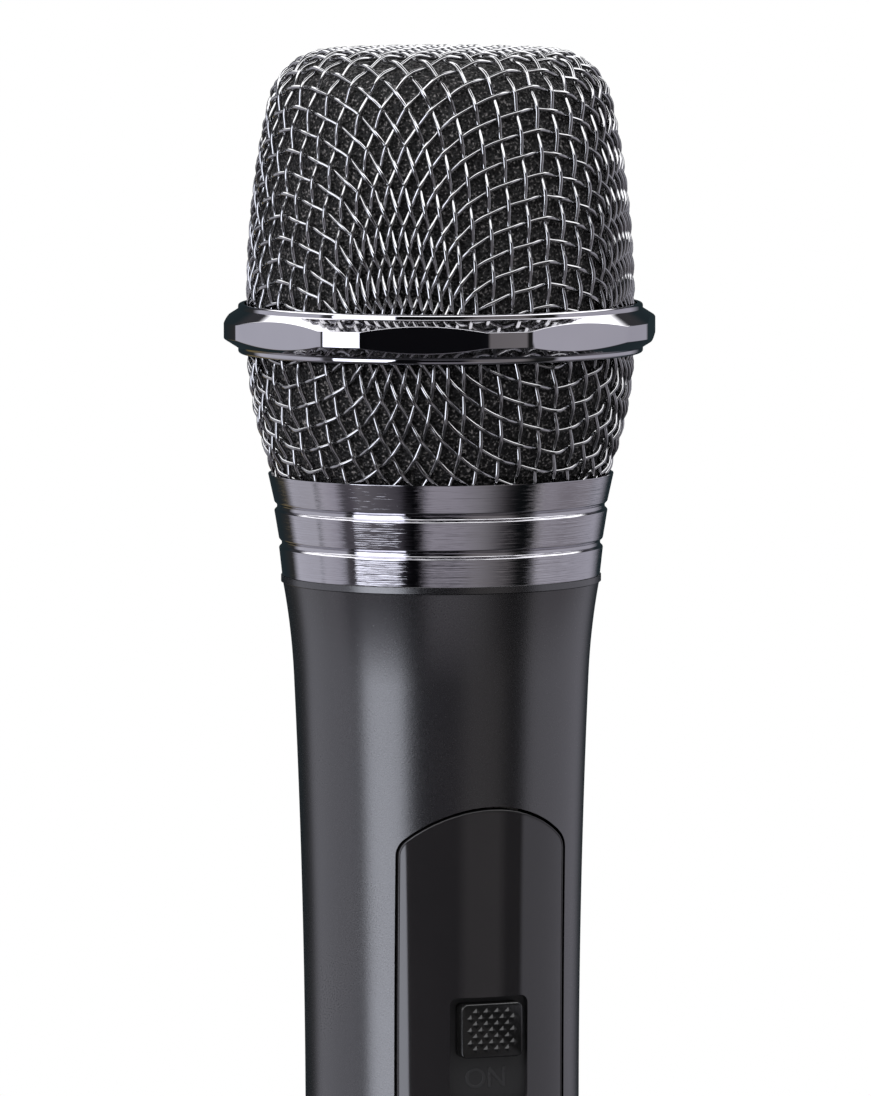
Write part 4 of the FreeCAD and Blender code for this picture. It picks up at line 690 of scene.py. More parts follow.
def pressed_mesh(form, pitch):
    """Crossings of woven wires pressed over a form, and the normal at each.

    Wires keep their length between crossings, so a cell can only shear until its wires lie side by side.
    """
    reach = form.lengths[-1]
    count = int(reach / pitch)
    quarter = {(0, 0): Vector((0, 0, form.points[0][1]))}
    for step in range(1, count + 1):
        near = form.at(step * pitch)
        quarter[step, 0] = Vector((near.x, 0, near.y))
        quarter[0, step] = Vector((0, near.x, near.y))
    for ring in range(2, 2 * count + 1):
        for i in range(max(1, ring - count), min(ring, count + 1)):
            j = ring - i
            first, second, inner = (quarter.get(key) for key in ((i - 1, j), (i, j - 1), (i - 1, j - 1)))
            if first is None or second is None or inner is None:
                continue
            place = first + second - inner
            for _ in range(FALLING_ROUNDS):
                for anchor in (first, second):
                    away = place - anchor
                    place = place + away * (FALLING_SHARE * (pitch - away.length) / away.length)
                place, _, length = form.nearest(place)
            if length < reach - EDGE_PLAY:
                quarter[i, j] = place
    quarter = settled(quarter, form, pitch)
    crossings = {}
    for (i, j), place in quarter.items():
        for turn in range(4):
            spot = Matrix.Rotation(math.pi / 2 * turn, 3, "Z") @ place
            crossings[i, j] = (spot, form.nearest(spot)[1])
            i, j = -j, i
    return crossings


def onto_form(spots, form):
    """The places of a form nearest to an array of spots."""
    profile = np.array(form.points)
    starts, runs = profile[:-1], np.diff(profile, axis=0)
    across = np.linalg.norm(spots[:, :2], axis=1)
    flat = np.stack([across, spots[:, 2]], axis=1)[:, None, :]
    share = ((flat - starts) * runs).sum(2) / (runs**2).sum(1)
    near = starts + runs * np.clip(share, 0, 1)[:, :, None]
    best = np.linalg.norm(flat - near, axis=2).argmin(axis=1)
    near = near[np.arange(len(spots)), best]
    return np.column_stack([spots[:, :2] * (near[:, 0] / across)[:, None], near[:, 1]])


def settled(quarter, form, pitch):
    """Lets the wires of a quarter slide until no two side by side are nearer than their locking distance."""
    keys = [key for key in quarter if key != (0, 0)]
    order = {key: index for index, key in enumerate(keys)}
    spots = np.array([quarter[key] for key in keys])
    free = np.array([0 not in key for key in keys])[:, None]
    ties, bends = [], []
    for i, j in keys:
        for across, along, rest, lock in ((1, 0, pitch, 0), (0, 1, pitch, 0), (1, -1, WIRE_LOCK, 1)):
            ahead = order.get((i + across, j + along))
            back = order.get((i - across, j - along))
            if ahead is not None:
                ties.append((order[i, j], ahead, rest, lock))
            if ahead is not None and back is not None and not lock:
                bends.append((back, order[i, j], ahead))
    before, middle, after = np.array(bends).T
    first, second, rest, lock = np.array(ties).T
    first, second = first.astype(int), second.astype(int)
    count = np.bincount(first, minlength=len(keys)) + np.bincount(second, minlength=len(keys))
    for _ in range(SETTLING_ROUNDS):
        away = spots[second] - spots[first]
        length = np.linalg.norm(away, axis=1)
        push = (rest - length) / length
        push = np.where((lock > 0) & (push < 0), 0, push)
        shift = np.zeros_like(spots)
        np.add.at(shift, second, away * push[:, None])
        np.add.at(shift, first, -away * push[:, None])
        np.add.at(shift, middle, WIRE_STIFFNESS * ((spots[before] + spots[after]) / 2 - spots[middle]))
        spots = onto_form(spots + shift * free / count[:, None], form)
    return {(0, 0): quarter[0, 0], **{key: Vector(spots[order[key]]) for key in keys}}


def wire_path(places, normals, phase):
    """Points along one wire that goes over and under the wires it crosses."""
    path = []
    last = len(places) - 1
    for index in range(last):
        around = [places[max(index - 1, 0)], places[index], places[index + 1], places[min(index + 2, last)]]
        for step in range(WIRE_STEPS):
            share = step / WIRE_STEPS
            square, cube = share * share, share**3
            spot = around[1] * 2 + (around[2] - around[0]) * share
            spot += (around[0] * 2 - around[1] * 5 + around[2] * 4 - around[3]) * square
            spot += (around[1] * 3 - around[0] - around[2] * 3 + around[3]) * cube
            lift = math.cos(math.pi * share) * (-1) ** (index + phase) * WIRE / 2
            path.append(spot * 0.5 + normals[index].lerp(normals[index + 1], share) * lift)
    return path


def inside_span(path, low, high):
    """The stretches of a path that lie between two levels."""
    stretches, current = [], []
    for spot in path:
        if low <= spot.z <= high:
            current.append(spot)
        elif current:
            stretches.append(current)
            current = []
    stretches.append(current)
    return [stretch for stretch in stretches if len(stretch) > 2]


def unbroken(keys, varying):
    """The stretches of crossings along one wire in which none is missing."""
    runs = [[keys[0]]]
    for key in keys[1:]:
        if key[varying] == runs[-1][-1][varying] + 1:
            runs[-1].append(key)
        else:
            runs.append([key])
    return [run for run in runs if len(run) > 2]


def turned_spot(spot, turn, twist):
    """A place turned about the axis, by a twist more for each millimetre above the ring."""
    return Matrix.Rotation(math.radians(turn + twist * (spot.z - RING_LEVEL)), 3, "Z") @ spot


def woven(name, crossings, along_first, turn, twist, low, high):
    """All the wires that run one way, as one mesh of round wire."""
    paths = []
    fixed = 1 if along_first else 0
    for line in sorted({key[fixed] for key in crossings}):
        keys = sorted(key for key in crossings if key[fixed] == line)
        for run in unbroken(keys, 1 - fixed):
            places, normals = zip(*(crossings[key] for key in run))
            path = wire_path(places, normals, sum(run[0]) + 1 - fixed)
            for part in inside_span(path, low, high):
                paths.append([turned_spot(spot, turn, twist) for spot in part])
    return drawn_wire(name, paths, WIRE / 2, 1)


def dome_profile(inset, foot, count=40):
    """Profile of the upper basket from its pole to a level, inset by a size: crown, corner and side arcs."""
    base = RING_LEVEL + RING_HALF
    side_across = BASKET - SIDE_BEND
    reach = math.hypot(CORNER_ACROSS - side_across, CORNER_LEVEL - base)
    corner = SIDE_BEND - reach
    drop = TOP - CORNER_LEVEL
    crown = (CORNER_ACROSS**2 + drop**2 - corner**2) / (2 * (drop - corner))
    crown_middle = TOP - crown
    crown_angle = math.degrees(math.atan2(CORNER_LEVEL - crown_middle, CORNER_ACROSS))
    side_angle = math.degrees(math.atan2(CORNER_LEVEL - base, CORNER_ACROSS - side_across))
    points = arc_points((0, crown_middle), crown - inset, 90, crown_angle, count // 2)
    points += arc_points((CORNER_ACROSS, CORNER_LEVEL), corner - inset, crown_angle, side_angle, count)[1:]
    points += arc_points((side_across, base), SIDE_BEND - inset, side_angle, 0, count)[1:]
    points[0] = (0.0, points[0][1])
    points.append((BASKET - inset, foot))
    return points


def lower_profile(inset, low, high, count=24):
    """Points on the lower basket's side between two levels, upwards."""
    across = BASKET - LOWER_BEND
    bend = LOWER_BEND - inset
    start = -math.degrees(math.asin((LOWER_BEND_LEVEL - low) / bend))
    end = -math.degrees(math.asin((LOWER_BEND_LEVEL - high) / bend))
    return arc_points((across, LOWER_BEND_LEVEL), bend, start, end, count)


def make_baskets():
    """Both baskets, each as the wires of one direction and of the other."""
    metal = wire_metal("dark_plated_wire")
    upper = Form(dome_profile(WIRE, RING_LEVEL - UPPER_BLANK_FOOT), 1)
    bottom = levels("lower_grille")[0]
    side = lower_profile(WIRE, bottom, RING_LEVEL)
    corner = [(side[0][0] - inward, side[0][1] - drop) for inward, drop in LOWER_BLANK_CORNER]
    lower = Form([(0.0, corner[0][1]), *corner, *side, (side[-1][0], RING_LEVEL + LOWER_BLANK_TOP)], -1)
    for half, form, turn, twist, low, high in (
        ("upper", upper, UPPER_TURN, 0.0, RING_LEVEL + WIRE_END, TOP),
        ("lower", lower, LOWER_TURN, LOWER_TWIST, bottom + WIRE / 2, RING_LEVEL - WIRE_END),
    ):
        crossings = pressed_mesh(form, WIRE_PITCH)
        for way, along in (("warp", True), ("weft", False)):
            piece = woven(f"{half}_{way}", crossings, along, turn, twist, low, high)
            ride(piece, "head", f"{half}_wire", metal, f"{half}_grille")


def make_foam():
    """Foam that lines both baskets, pressed against the wires, with a rough open-cell face."""
    foam = foam_black("open_cell_foam")
    inset = 2 * WIRE + FOAM_PLAY
    foot = RING_LEVEL + FOAM_FROM_RING
    outer = dome_profile(inset, foot)
    inner = dome_profile(inset + FOAM_THICK, foot)
    upper = turned("upper_foam_liner", outer + inner[::-1], 160)
    low, high = levels("lower_foam")[0], RING_LEVEL - FOAM_FROM_RING
    side = lower_profile(inset, low, high)
    back = lower_profile(inset + LOWER_FOAM_THICK, low, high)
    lower = turned("lower_foam_liner", side + back[::-1] + side[:1], 160)
    for piece, node in ((upper, "upper_foam"), (lower, "lower_foam")):
        texture = bpy.data.textures.new(f"{piece.name}_cells", "CLOUDS")
        texture.noise_scale = FOAM_CELL * MM
        apply_modifier(piece, "DISPLACE", texture=texture, strength=-FOAM_ROUGHNESS * MM, mid_level=0.0)
        ride(piece, "head", "foam", foam, node)


# Head fittings

def make_ring(metal):
    """Faceted ring: turned, eight flats cut, edges broken."""
    level, bead = RING_LEVEL, RING_BEAD
    outline = [(RING_BORE, level - RING_HALF)]
    outline += arc_points((RING_LIP - bead, level - RING_HALF + bead), bead, -90, 0, 5)
    outline += [
        (RING_LIP, level - RING_HALF + RING_SHOULDER),
        (RIM, level - RIM_HALF),
        (RIM, level + RIM_HALF),
        (RING_LIP, level + RING_HALF - RING_SHOULDER),
    ]
    outline += arc_points((RING_LIP - bead, level + RING_HALF - bead), bead, 0, 90, 5)
    outline += [(RING_BORE, level + RING_HALF), (RING_BORE, level - RING_HALF)]
    ring = turned("faceted_ring", outline, 240)
    edit(ring)
    for index in range(FACETS):
        angle = math.radians(FACET_TURN + 360 / FACETS * index)
        normal = (math.cos(angle), math.sin(angle), 0)
        select_whole()
        bpy.ops.mesh.bisect(
            plane_co=tuple(part * FACET_DISTANCE * MM for part in normal),
            plane_no=normal,
            use_fill=True,
            clear_outer=True,
        )
    bpy.ops.object.mode_set(mode="OBJECT")
    soften(ring, 0.07, 2, 20.0)
    ride(ring, "head", "ring_chrome", metal, "grille_ring")


def make_collar(metal):
    """Three-tier collar with rounded tier edges and a seat for the lower basket."""
    top = COLLAR_TOP
    tier = (top - HANDLE_TOP - 2 * GROOVE) / TIERS
    radius, level = radius_of("handle_shell") - COLLAR_INSET, HANDLE_TOP
    outline = [(COLLAR_BORE, HANDLE_TOP)]
    for index in range(TIERS):
        upper = radius + (TIER_SLOPE + TIER_SLOPE_STEP * index) * tier
        outline += [(radius, level), (upper, level + tier)]
        level += tier
        radius = upper
        if index < TIERS - 1:
            outline.append((upper - GROOVE_DEPTH, level + GROOVE_DEPTH))
            level += GROOVE
            outline.append((upper - GROOVE_DEPTH, level - GROOVE_DEPTH))
    floor = top - SEAT_DEPTH
    seat, foot = (lower_profile(-COLLAR_INSET, level, RING_LEVEL)[0][0] for level in (top, floor))
    outline += [(seat, top), (foot, floor), (COLLAR_BORE, floor), (COLLAR_BORE, HANDLE_TOP)]
    collar = turned("tiered_collar", outline, 240)
    soften(collar, 0.09, 2, 25.0)
    ride(collar, "head", "collar_chrome", metal, "head_collar")


# Handle

def make_handle(paint, plastic):
    """Upper handle with its bead, threaded neck and the opening for the panel."""
    outline = handle_side(0.0, SPLIT + EDGE_BREAK)
    outline += [
        (LIP_RADIUS, HANDLE_TOP - LIP_HEIGHT + LIP_SLOPE),
        (LIP_RADIUS, HANDLE_TOP),
        (NECK_CORE, HANDLE_TOP),
        (NECK_CORE, NECK_TOP - EDGE_BREAK),
        (NECK_CORE - EDGE_BREAK, NECK_TOP),
        (NECK_BORE, NECK_TOP),
        (NECK_BORE, FLARE_MIDDLE + BORE_TAPER),
        (BORE, FLARE_MIDDLE - BORE_TAPER),
        (BORE, SPLIT),
        (GRIP - EDGE_BREAK, SPLIT),
        (GRIP, SPLIT + EDGE_BREAK),
    ]
    handle = turned("handle_upper", outline, 256)
    cut_with(handle, rounded_prism("panel_opening", *panel_outline(0.0)))
    soften(handle, 0.12, 2, 40.0)
    ride(handle, "handle", "handle_coat", paint, "handle_shell")
    low, high = HANDLE_TOP + THREAD_END, NECK_TOP - THREAD_END
    thread = helix_ridge("neck_thread", NECK_CORE, THREAD_CREST, low, high)
    ride(thread, "handle", "handle_coat", paint)
    core, low = radius_of("battery_spigot"), levels("battery_spigot")[0]
    root, crest = core - SPIGOT_ROOT, core + SPIGOT_CREST
    thread = helix_ridge("spigot_thread", root, crest, low + 1.0, SPLIT - THREAD_END)
    ride(thread, "handle", "spigot_plastic", plastic)


def helix_ridge(name, core, crest, low, high):
    """A screw thread's ridge: a small wedge turned and lifted by one pitch each turn."""
    half, root = THREAD_PITCH * THREAD_FOOT, core - THREAD_FLAT
    points = [(root, low - half), (crest, low - THREAD_FLAT), (crest, low + THREAD_FLAT), (root, low + half)]
    piece = new_outline(name, points, False)
    bpy.ops.object.mode_set(mode="OBJECT")
    apply_modifier(
        piece,
        "SCREW",
        axis="Z",
        screw_offset=THREAD_PITCH * MM,
        iterations=int((high - low - THREAD_PITCH) / THREAD_PITCH),
        steps=64,
        render_steps=64,
        use_normal_calculate=True,
        use_merge_vertices=False,
    )
    edit(piece)
    close_outward()
    smooth_edges(piece, 30.0)
    return piece


def make_panel(gloss):
    """Arched gloss panel with a rounded rim and a bevelled switch window."""
    inner = GRIP - PANEL_THICK
    outline = [(inner, SPLIT), *handle_side(PANEL_SINK, SPLIT), (inner, HANDLE_TOP - 2), (inner, SPLIT)]
    plug = turned("gloss_panel", outline, 512)
    cut_with(plug, rounded_prism("panel_edge", *panel_outline(-PANEL_GAP)), "INTERSECT")
    corners = corners_of(WINDOW_HALF, WINDOW_BOTTOM, WINDOW_TOP)
    cut_with(plug, rounded_prism("window_hole", corners, [WINDOW_CORNER] * 4))
    across, deep = (-TRACK_HALF, TRACK_HALF), (-TRACK_FACE, 0.0)
    cut_with(plug, block("track_hole", across, deep, (TRACK_LOW, TRACK_HIGH)))
    soften(plug, 0.28, 3, 50.0)
    ride(plug, "handle", "panel_gloss", gloss, "switch_panel")
    ride(make_rim(), "handle", "panel_gloss", gloss, "switch_panel")


def make_rim():
    """Rolled edge of the panel, which catches the light inside the shadow gap."""
    radii, heights = zip(*handle_side(PANEL_SINK + PANEL_ROLL / 2, SPLIT))
    outline = rounded_outline(*panel_outline(-PANEL_GAP - PANEL_ROLL * 0.9))
    places = []
    for first, last in zip(outline, outline[1:] + outline[:1]):
        steps = math.ceil(math.dist(first, last) / RIM_STEP)
        for step in range(steps):
            x, z = (a + (b - a) * step / steps for a, b in zip(first, last))
            radius = float(np.interp(z, heights, radii))
            places.append((x, -math.sqrt(radius**2 - x**2), z))
    return drawn_wire("panel_rim", [places], PANEL_ROLL, 2, True)


def block(name, across, deep, high):
    """A box between two sizes along each axis."""
    deselect()
    spans = (across, deep, high)
    middle = [sum(span) / 2 * MM for span in spans]
    size = [(span[1] - span[0]) * MM for span in spans]
    bpy.ops.mesh.primitive_cube_add(size=1.0, location=middle, scale=size)
    piece = bpy.context.object
    piece.name = piece.data.name = name
    bpy.ops.object.transform_apply()
    return piece


def make_knob(plastic):
    """Thumb knob: rounded block whose face carries rows of small pyramids inside a plain border."""
    height, middle = KNOB_HIGH - KNOB_LOW, (KNOB_LOW + KNOB_HIGH) / 2
    floor = -KNOB_FACE - KNOB_SINK
    knob = rounded_prism("thumb_knob", corners_of(KNOB_HALF, KNOB_LOW, KNOB_HIGH), [KNOB_CORNER] * 4, floor)
    edit(knob)
    back = (0, SHUTTER_FACE * MM, 0)
    bpy.ops.mesh.bisect(plane_co=back, plane_no=(0, 1, 0), use_fill=True, clear_outer=True)
    bpy.ops.object.mode_set(mode="OBJECT")
    soften(knob, 0.22, 3, 40.0)
    columns, rows = int(KNOB_HALF / STUD_ACROSS) + 1, int(height / STUD_UP) + 1
    studs = []
    for row in range(-2 * rows, 2 * rows + 1):
        for column in range(-columns, columns + 1):
            x = (column + (0.5 if row % 2 else 0.0)) * STUD_ACROSS
            z = middle + row * STUD_UP / 2
            if abs(x) <= KNOB_HALF - STUD_MARGIN and abs(z - middle) <= height / 2 - STUD_END_MARGIN:
                studs.append((x, z))
    deselect()
    bpy.ops.mesh.primitive_cone_add(
        vertices=4,
        radius1=STUD_FOOT * MM,
        radius2=STUD_TIP * MM,
        depth=STUD_HEIGHT * MM,
        location=(0, (-floor - STUD_LIFT) * MM, 0),
        rotation=(math.pi / 2, 0, 0),
    )
    stud = bpy.context.object
    bpy.ops.object.transform_apply()
    copies = []
    for x, z in studs:
        copy = stud.copy()
        copy.data = stud.data.copy()
        bpy.context.collection.objects.link(copy)
        copy.location = (x * MM, 0, z * MM)
        copies.append(copy)
    bpy.data.objects.remove(stud, do_unlink=True)
    join_into(knob, copies)
    ride(knob, "slider", "knob_plastic", plastic, "switch_knob")


def join_into(piece, others):
    deselect()
    for other in others:
        other.select_set(True)
        bpy.context.view_layer.objects.active = other
    bpy.ops.object.transform_apply()
    piece.select_set(True)
    bpy.context.view_layer.objects.active = piece
    bpy.ops.object.join()


def make_lettering(plastic):
    """ON and OFF in low relief on the shutter, one shown at each end of the slide."""
    for name, word, size, level in (("mark_on", "ON", 3.6, 114.95), ("mark_off", "OFF", 3.3, 127.9)):
        deselect()
        bpy.ops.object.text_add(location=(0, 0, 0), rotation=(0, 0, 0))
        text = bpy.context.object
        text.name = name
        text.data.body = word
        text.data.size = size * MM
        text.data.align_x = "CENTER"
        text.data.align_y = "CENTER"
        text.data.extrude = MARK_DEPTH * MM
        text.data.bevel_depth = MARK_ROUND * MM
        text.data.bevel_resolution = 1
        bpy.ops.object.convert(target="MESH")
        text.rotation_euler = (math.pi / 2, 0, 0)
        text.location = (0, SHUTTER_FACE * MM, level * MM)
        bpy.ops.object.transform_apply()
        ride(text, "slider", "shutter_plastic", plastic)


def make_sleeve(paint, plastic):
    """Battery sleeve and end cap, with a fine seam between them."""
    outline = [
        (SLEEVE_BORE, CAP_TOP),
        (GRIP - EDGE_BREAK, CAP_TOP),
        (GRIP, CAP_TOP + EDGE_BREAK),
        (GRIP, SPLIT - EDGE_BREAK),
        (GRIP - EDGE_BREAK, SPLIT),
        (SLEEVE_BORE, SPLIT),
        (SLEEVE_BORE, CAP_TOP),
    ]
    sleeve = turned("sleeve_tube", outline, 256)
    soften(sleeve, 0.08, 2, 30.0)
    ride(sleeve, "sleeve", "sleeve_coat", paint, "battery_sleeve")
    edge = GRIP - FOOT_ROUND
    outline = [(0.0, FOOT_SINK), (FOOT_BORE - FOOT_SINK, FOOT_SINK), (FOOT_BORE, 0.0), (edge, 0.0)]
    outline += arc_points((edge, FOOT_ROUND), FOOT_ROUND, -90, 0, 10)[1:]
    outline += [
        (GRIP, CAP_TOP - EDGE_BREAK),
        (GRIP - EDGE_BREAK, CAP_TOP),
        (CAP_PLUG, CAP_TOP),
        (CAP_PLUG, CAP_PLUG_TOP),
        (CAP_BORE, CAP_PLUG_TOP),
        (CAP_BORE, CAP_FLOOR),
        (0.0, CAP_FLOOR),
    ]
    cap = turned("end_cap_turning", outline, 256)
    soften(cap, 0.1, 2, 30.0)
    ride(cap, "sleeve", "cap_plastic", plastic, "end_cap")


# Inner pieces keep their shape and get a finish

def finish_inside():
    dark = moulded("moulded_black", (0.014, 0.014, 0.015), (0.020, 0.020, 0.021), 0.48)
    rubber = moulded("moulded_rubber", (0.012, 0.012, 0.012), (0.018, 0.017, 0.017), 0.72, 1500.0)
    tin = sheet_metal("tinned_sheet", (0.50, 0.50, 0.49), (0.66, 0.66, 0.64), 0.30)
    nickel = sheet_metal("nickel_strip", (0.60, 0.56, 0.50), (0.76, 0.72, 0.66), 0.24)
    laminate = moulded("phenolic_board", (0.20, 0.11, 0.045), (0.27, 0.16, 0.07), 0.45)
    natural = moulded("natural_plastic", (0.52, 0.52, 0.48), (0.60, 0.60, 0.57), 0.42)
    epoxy = moulded("chip_epoxy", (0.012, 0.012, 0.013), (0.018, 0.018, 0.019), 0.55)
    clear = moulded("diaphragm_film", (0.50, 0.46, 0.38), (0.58, 0.54, 0.46), 0.20)
    lead = moulded("lead_insulation", (0.30, 0.02, 0.02), (0.36, 0.03, 0.025), 0.35)
    finishes = (
        (dark, ("battery_spigot", "battery_cradle", "capsule_seat", "capsule_can", "capsule_frame")),
        (dark, ("capsule_front", "switch_shutter")),
        (rubber, ("shock_mount",)),
        (tin, ("inner_band", "screening_can", "switch_case", "board_screws", "aerial_wire")),
        (tin, ("magnet_yoke", "pole_plate")),
        (nickel, ("magnet", "contact_bridge", "contact_tabs", "clamp_ring")),
        (laminate, ("switch_base", "terminal_board")),
        (natural, ("switch_stem",)),
        (epoxy, ("board_chips", "board_capacitors")),
        (clear, ("diaphragm",)),
        (lead, ("capsule_leads",)),
        (board_green("solder_mask"), ("circuit_board",)),
        (wound_copper("enamelled_winding"), ("voice_coil",)),
        *((cell_jacket(f"{cell}_jacket", cell), (cell,)) for cell in ("left_cell", "right_cell")),
    )
    for material, nodes in finishes:
        for node in nodes:
            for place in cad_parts[node].material_slots:
                place.material = material


# Studio: bands and boxes by azimuth in degrees from the camera's side, right being positive, or by height

DUSK = (0.02, 0.03, 0.035)
STUDIO_LEVEL = [
    (-154, *DUSK),
    (-134, 0.04, 0.04, 0.04),
    (-125, 0.66, 0.66, 0.74),
    (-73, 0.62, 0.62, 0.70),
    (-70, 0.06, 0.06, 0.065),
    (-24, 0.004, 0.004, 0.005),
    (12, 0.008, 0.008, 0.010),
    (22, 0.22, 0.205, 0.21),
    (47, 0.25, 0.235, 0.24),
    (56, 0.02, 0.02, 0.02),
    (68, 0.02, 0.02, 0.02),
    (72, 0.60, 0.59, 0.66),
    (138, 0.50, 0.49, 0.56),
    (156, *DUSK),
]
STUDIO_LOW = [
    (-160, *DUSK),
    (-157, 0.26, 0.19, 0.07),
    (-142, 0.24, 0.20, 0.12),
    (-132, 0.20, 0.19, 0.20),
    (-126, 0.50, 0.49, 0.54),
    (-100, 0.54, 0.53, 0.58),
    (-98, 0.14, 0.14, 0.15),
    (-94, 0.56, 0.54, 0.60),
    (-80, 0.42, 0.40, 0.46),
    (-75, 0.10, 0.095, 0.11),
    (-66, 0.12, 0.11, 0.13),
    (-62, 0.20, 0.19, 0.21),
    (-29, 0.08, 0.075, 0.09),
    (-26, 0.003, 0.003, 0.004),
    (-14, 0.004, 0.004, 0.005),
    (-11, 0.42, 0.40, 0.45),
    (12, 0.40, 0.38, 0.43),
    (31, 0.28, 0.27, 0.29),
    (46, 0.07, 0.065, 0.07),
    (54, 0.006, 0.007, 0.008),
    (70, 0.006, 0.007, 0.008),
    (75, 0.52, 0.50, 0.52),
    (78, 0.32, 0.30, 0.34),
    (86, 0.38, 0.36, 0.40),
    (96, 0.28, 0.26, 0.29),
    (125, 0.30, 0.28, 0.31),
    (140, 0.10, 0.12, 0.14),
    (150, *DUSK),
]
LEFT_BOX = (-64.5, -25.0)
LEFT_BOX_FOOT = (0.19, 0.26)
LEFT_BOX_EDGE = 0.004
LEFT_BOX_LEAN = 0.0125
LEAN_HEIGHTS = (0.10, 0.20)
LEFT_BOX_LIGHT = (3.2, 3.3, 3.7)
TOP_STRIP = (0.48, 0.56, 0.80, 0.88)
TOP_STRIP_LIGHT = (2.8, 2.8, 2.85)
BAND_CHANGE = (0.23, 0.29)
CEILING = (0.30, 0.42)
GROUND = (0.55, 0.75)
DARK = (0.05, 0.05, 0.055)
PLAIN_LIGHT = (0.42, 0.42, 0.43)
WHITE = (1.0, 1.0, 1.0)
PALE = (0.80, 0.80, 0.80)
FLOOR_RADIUS = 650.0
FLOOR_FADE = (0.16, 0.62)
LAMP_AIM = 140.0


def make_world():
    """White background for the camera; reflections see soft boxes and dark flags; the rest is plain."""
    world = bpy.data.worlds.new("studio")
    bpy.context.scene.world = world
    board = Board(world)
    direction = board.node("ShaderNodeTexCoord", output="Generated")
    spin = math.radians(-CAMERA_AZIMUTH)
    ahead = board.node("ShaderNodeMapping", None, {"Vector": direction, "Rotation": (0, 0, spin)})
    across, away, up = (board.node("ShaderNodeSeparateXYZ", None, {0: ahead}, axis) for axis in "XYZ")
    azimuth = across.math("ARCTAN2", away * -1) / FULL_TURN + 0.5
    boxes = []
    for band in (STUDIO_LEVEL, STUDIO_LOW):
        stops = [((angle + 180) / 360, shade) for angle, *shade in band]
        boxes.append(board.node("ShaderNodeValToRGB", {"stops": stops}, {"Fac": azimuth}))
    seen = board.mix((up * -1).between(*BAND_CHANGE), *boxes)
    start, end = ((angle + 180) / 360 for angle in LEFT_BOX)
    lean = (up * -1).between(*LEAN_HEIGHTS) * LEFT_BOX_LEAN
    left_edge = azimuth.between(start, start + LEFT_BOX_EDGE)
    right_edge = 1 - (azimuth + lean).between(end - LEFT_BOX_EDGE, end)
    box = left_edge * right_edge * (1 - (up * -1).between(*LEFT_BOX_FOOT))
    seen = board.mix(box, seen, LEFT_BOX_LIGHT)
    strip = up.between(*TOP_STRIP[:2]) * (1 - up.between(*TOP_STRIP[2:]))
    seen = board.mix(up.between(*CEILING), seen, DARK)
    seen = board.mix(strip, seen, TOP_STRIP_LIGHT)
    seen = board.mix((up * -1).between(*GROUND), seen, DARK)
    rays = [f"Is {ray} Ray" for ray in ("Camera", "Glossy", "Transmission")]
    by_camera, by_gloss, by_glass = (board.node("ShaderNodeLightPath", output=ray) for ray in rays)
    plain = board.mix(by_gloss, PLAIN_LIGHT, seen)
    shade = board.mix(by_camera.math("MAXIMUM", by_glass), plain, WHITE)
    background = board.node("ShaderNodeBackground", None, {"Color": shade, "Strength": 1.0})
    board.node("ShaderNodeOutputWorld", None, {"Surface": background})


def side_place(azimuth, distance, height):
    """A place round the axis, its azimuth counted from the camera's side."""
    angle = math.radians(CAMERA_AZIMUTH + azimuth)
    return Vector((math.sin(angle) * distance, -math.cos(angle) * distance, height)) * MM


def make_lamp(name, azimuth, distance, height, size, power):
    data = bpy.data.lights.new(name, "AREA")
    data.shape = "RECTANGLE"
    data.size, data.size_y = size[0] * MM, size[1] * MM
    data.energy = power
    lamp = bpy.data.objects.new(name, data)
    bpy.context.collection.objects.link(lamp)
    lamp.location = side_place(azimuth, distance, height)
    aim = Vector((0, 0, LAMP_AIM * MM)) - lamp.location
    lamp.rotation_euler = aim.to_track_quat("-Z", "Y").to_euler()
    lamp.visible_glossy = False
    return lamp


@finish
def fading_floor(board, place):
    """Pale floor that keeps a soft shadow and fades to white at its edge."""
    away = board.node("ShaderNodeVectorMath", {"operation": "LENGTH"}, {0: place}, output="Value")
    pale = board.node("ShaderNodeBsdfDiffuse", None, {"Color": (*PALE, 1.0)})
    glow = board.node("ShaderNodeEmission", None, {"Color": (*WHITE, 1.0), "Strength": 1.0})
    surface = board.node("ShaderNodeMixShader", None, {0: away.between(*FLOOR_FADE), 1: pale, 2: glow})
    board.node("ShaderNodeOutputMaterial", None, {"Surface": surface})


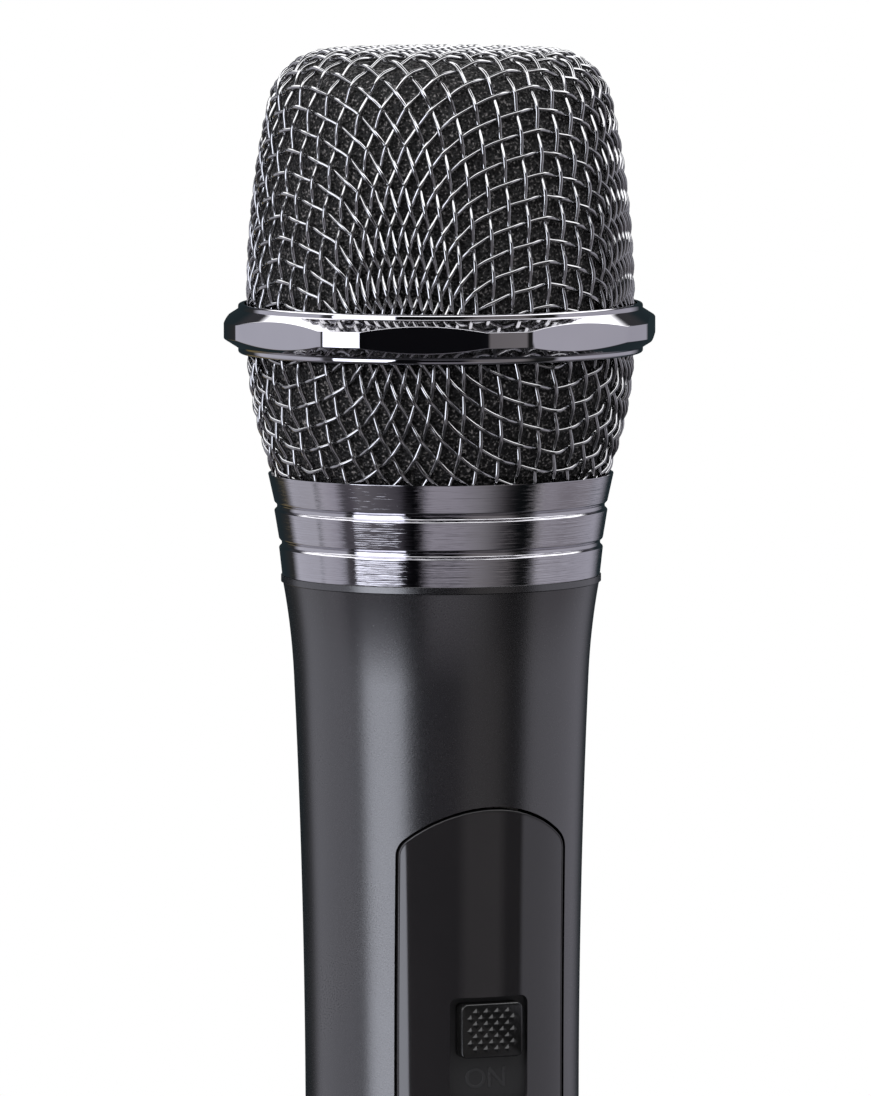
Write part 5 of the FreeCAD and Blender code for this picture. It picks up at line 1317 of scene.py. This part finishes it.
def make_stage():
    """Pale round floor and plain lamps."""
    deselect()
    radius = FLOOR_RADIUS * MM
    bpy.ops.mesh.primitive_circle_add(vertices=128, radius=radius, fill_type="NGON", location=(0, 0, 0))
    floor = bpy.context.object
    floor.name = "pale_floor"
    floor.data.materials.append(fading_floor("pale_floor"))
    floor.visible_glossy = False
    make_lamp("left_box", -48, 900, 380, (500, 900), 9.0)
    make_lamp("right_box", 100, 900, 300, (500, 900), 4.0)
    make_lamp("top_box", 20, 300, 1100, (700, 700), 7.0)


def make_camera():
    """The photograph's camera: far off, long lens, looking down a little."""
    data = bpy.data.cameras.new("camera")
    data.sensor_width = SENSOR
    data.lens = FOCAL_PIXELS / IMAGE_HEIGHT * SENSOR
    data.clip_start, data.clip_end = 0.01, 20.0
    camera = bpy.data.objects.new("camera", data)
    bpy.context.collection.objects.link(camera)
    camera.location = side_place(0, CAMERA_DISTANCE, CAMERA_HEIGHT)
    angle = math.radians(CAMERA_AZIMUTH)
    aside = Vector((math.cos(angle), math.sin(angle), 0)) * CAMERA_ASIDE
    aim = (aside + Vector((0, 0, CAMERA_AIM))) * MM - camera.location
    roll = Matrix.Rotation(math.radians(CAMERA_ROLL), 4, "Z")
    camera.rotation_euler = (aim.to_track_quat("-Z", "Y").to_matrix().to_4x4() @ roll).to_euler()
    bpy.context.scene.camera = camera


def main():
    make_camera()
    make_world()
    make_stage()
    paint = satin_paint("charcoal_paint")
    plastic = moulded("satin_black_plastic", (0.016, 0.016, 0.017), (0.022, 0.022, 0.023), 0.42)
    make_baskets()
    make_foam()
    make_ring(black_chrome("polished_black_metal", 0.000002))
    make_collar(black_chrome("turned_black_metal", 0.000024))
    make_handle(paint, plastic)
    make_panel(gloss_black("polished_black_panel"))
    make_knob(moulded("knob_plastic", (0.003, 0.003, 0.003), (0.005, 0.005, 0.005), 0.22))
    finish_inside()
    make_lettering(moulded("shutter_plastic", (0.022, 0.022, 0.024), (0.028, 0.028, 0.030), 0.30))
    make_sleeve(paint, plastic)
    bpy.context.scene.view_settings.view_transform = "Standard"


main()
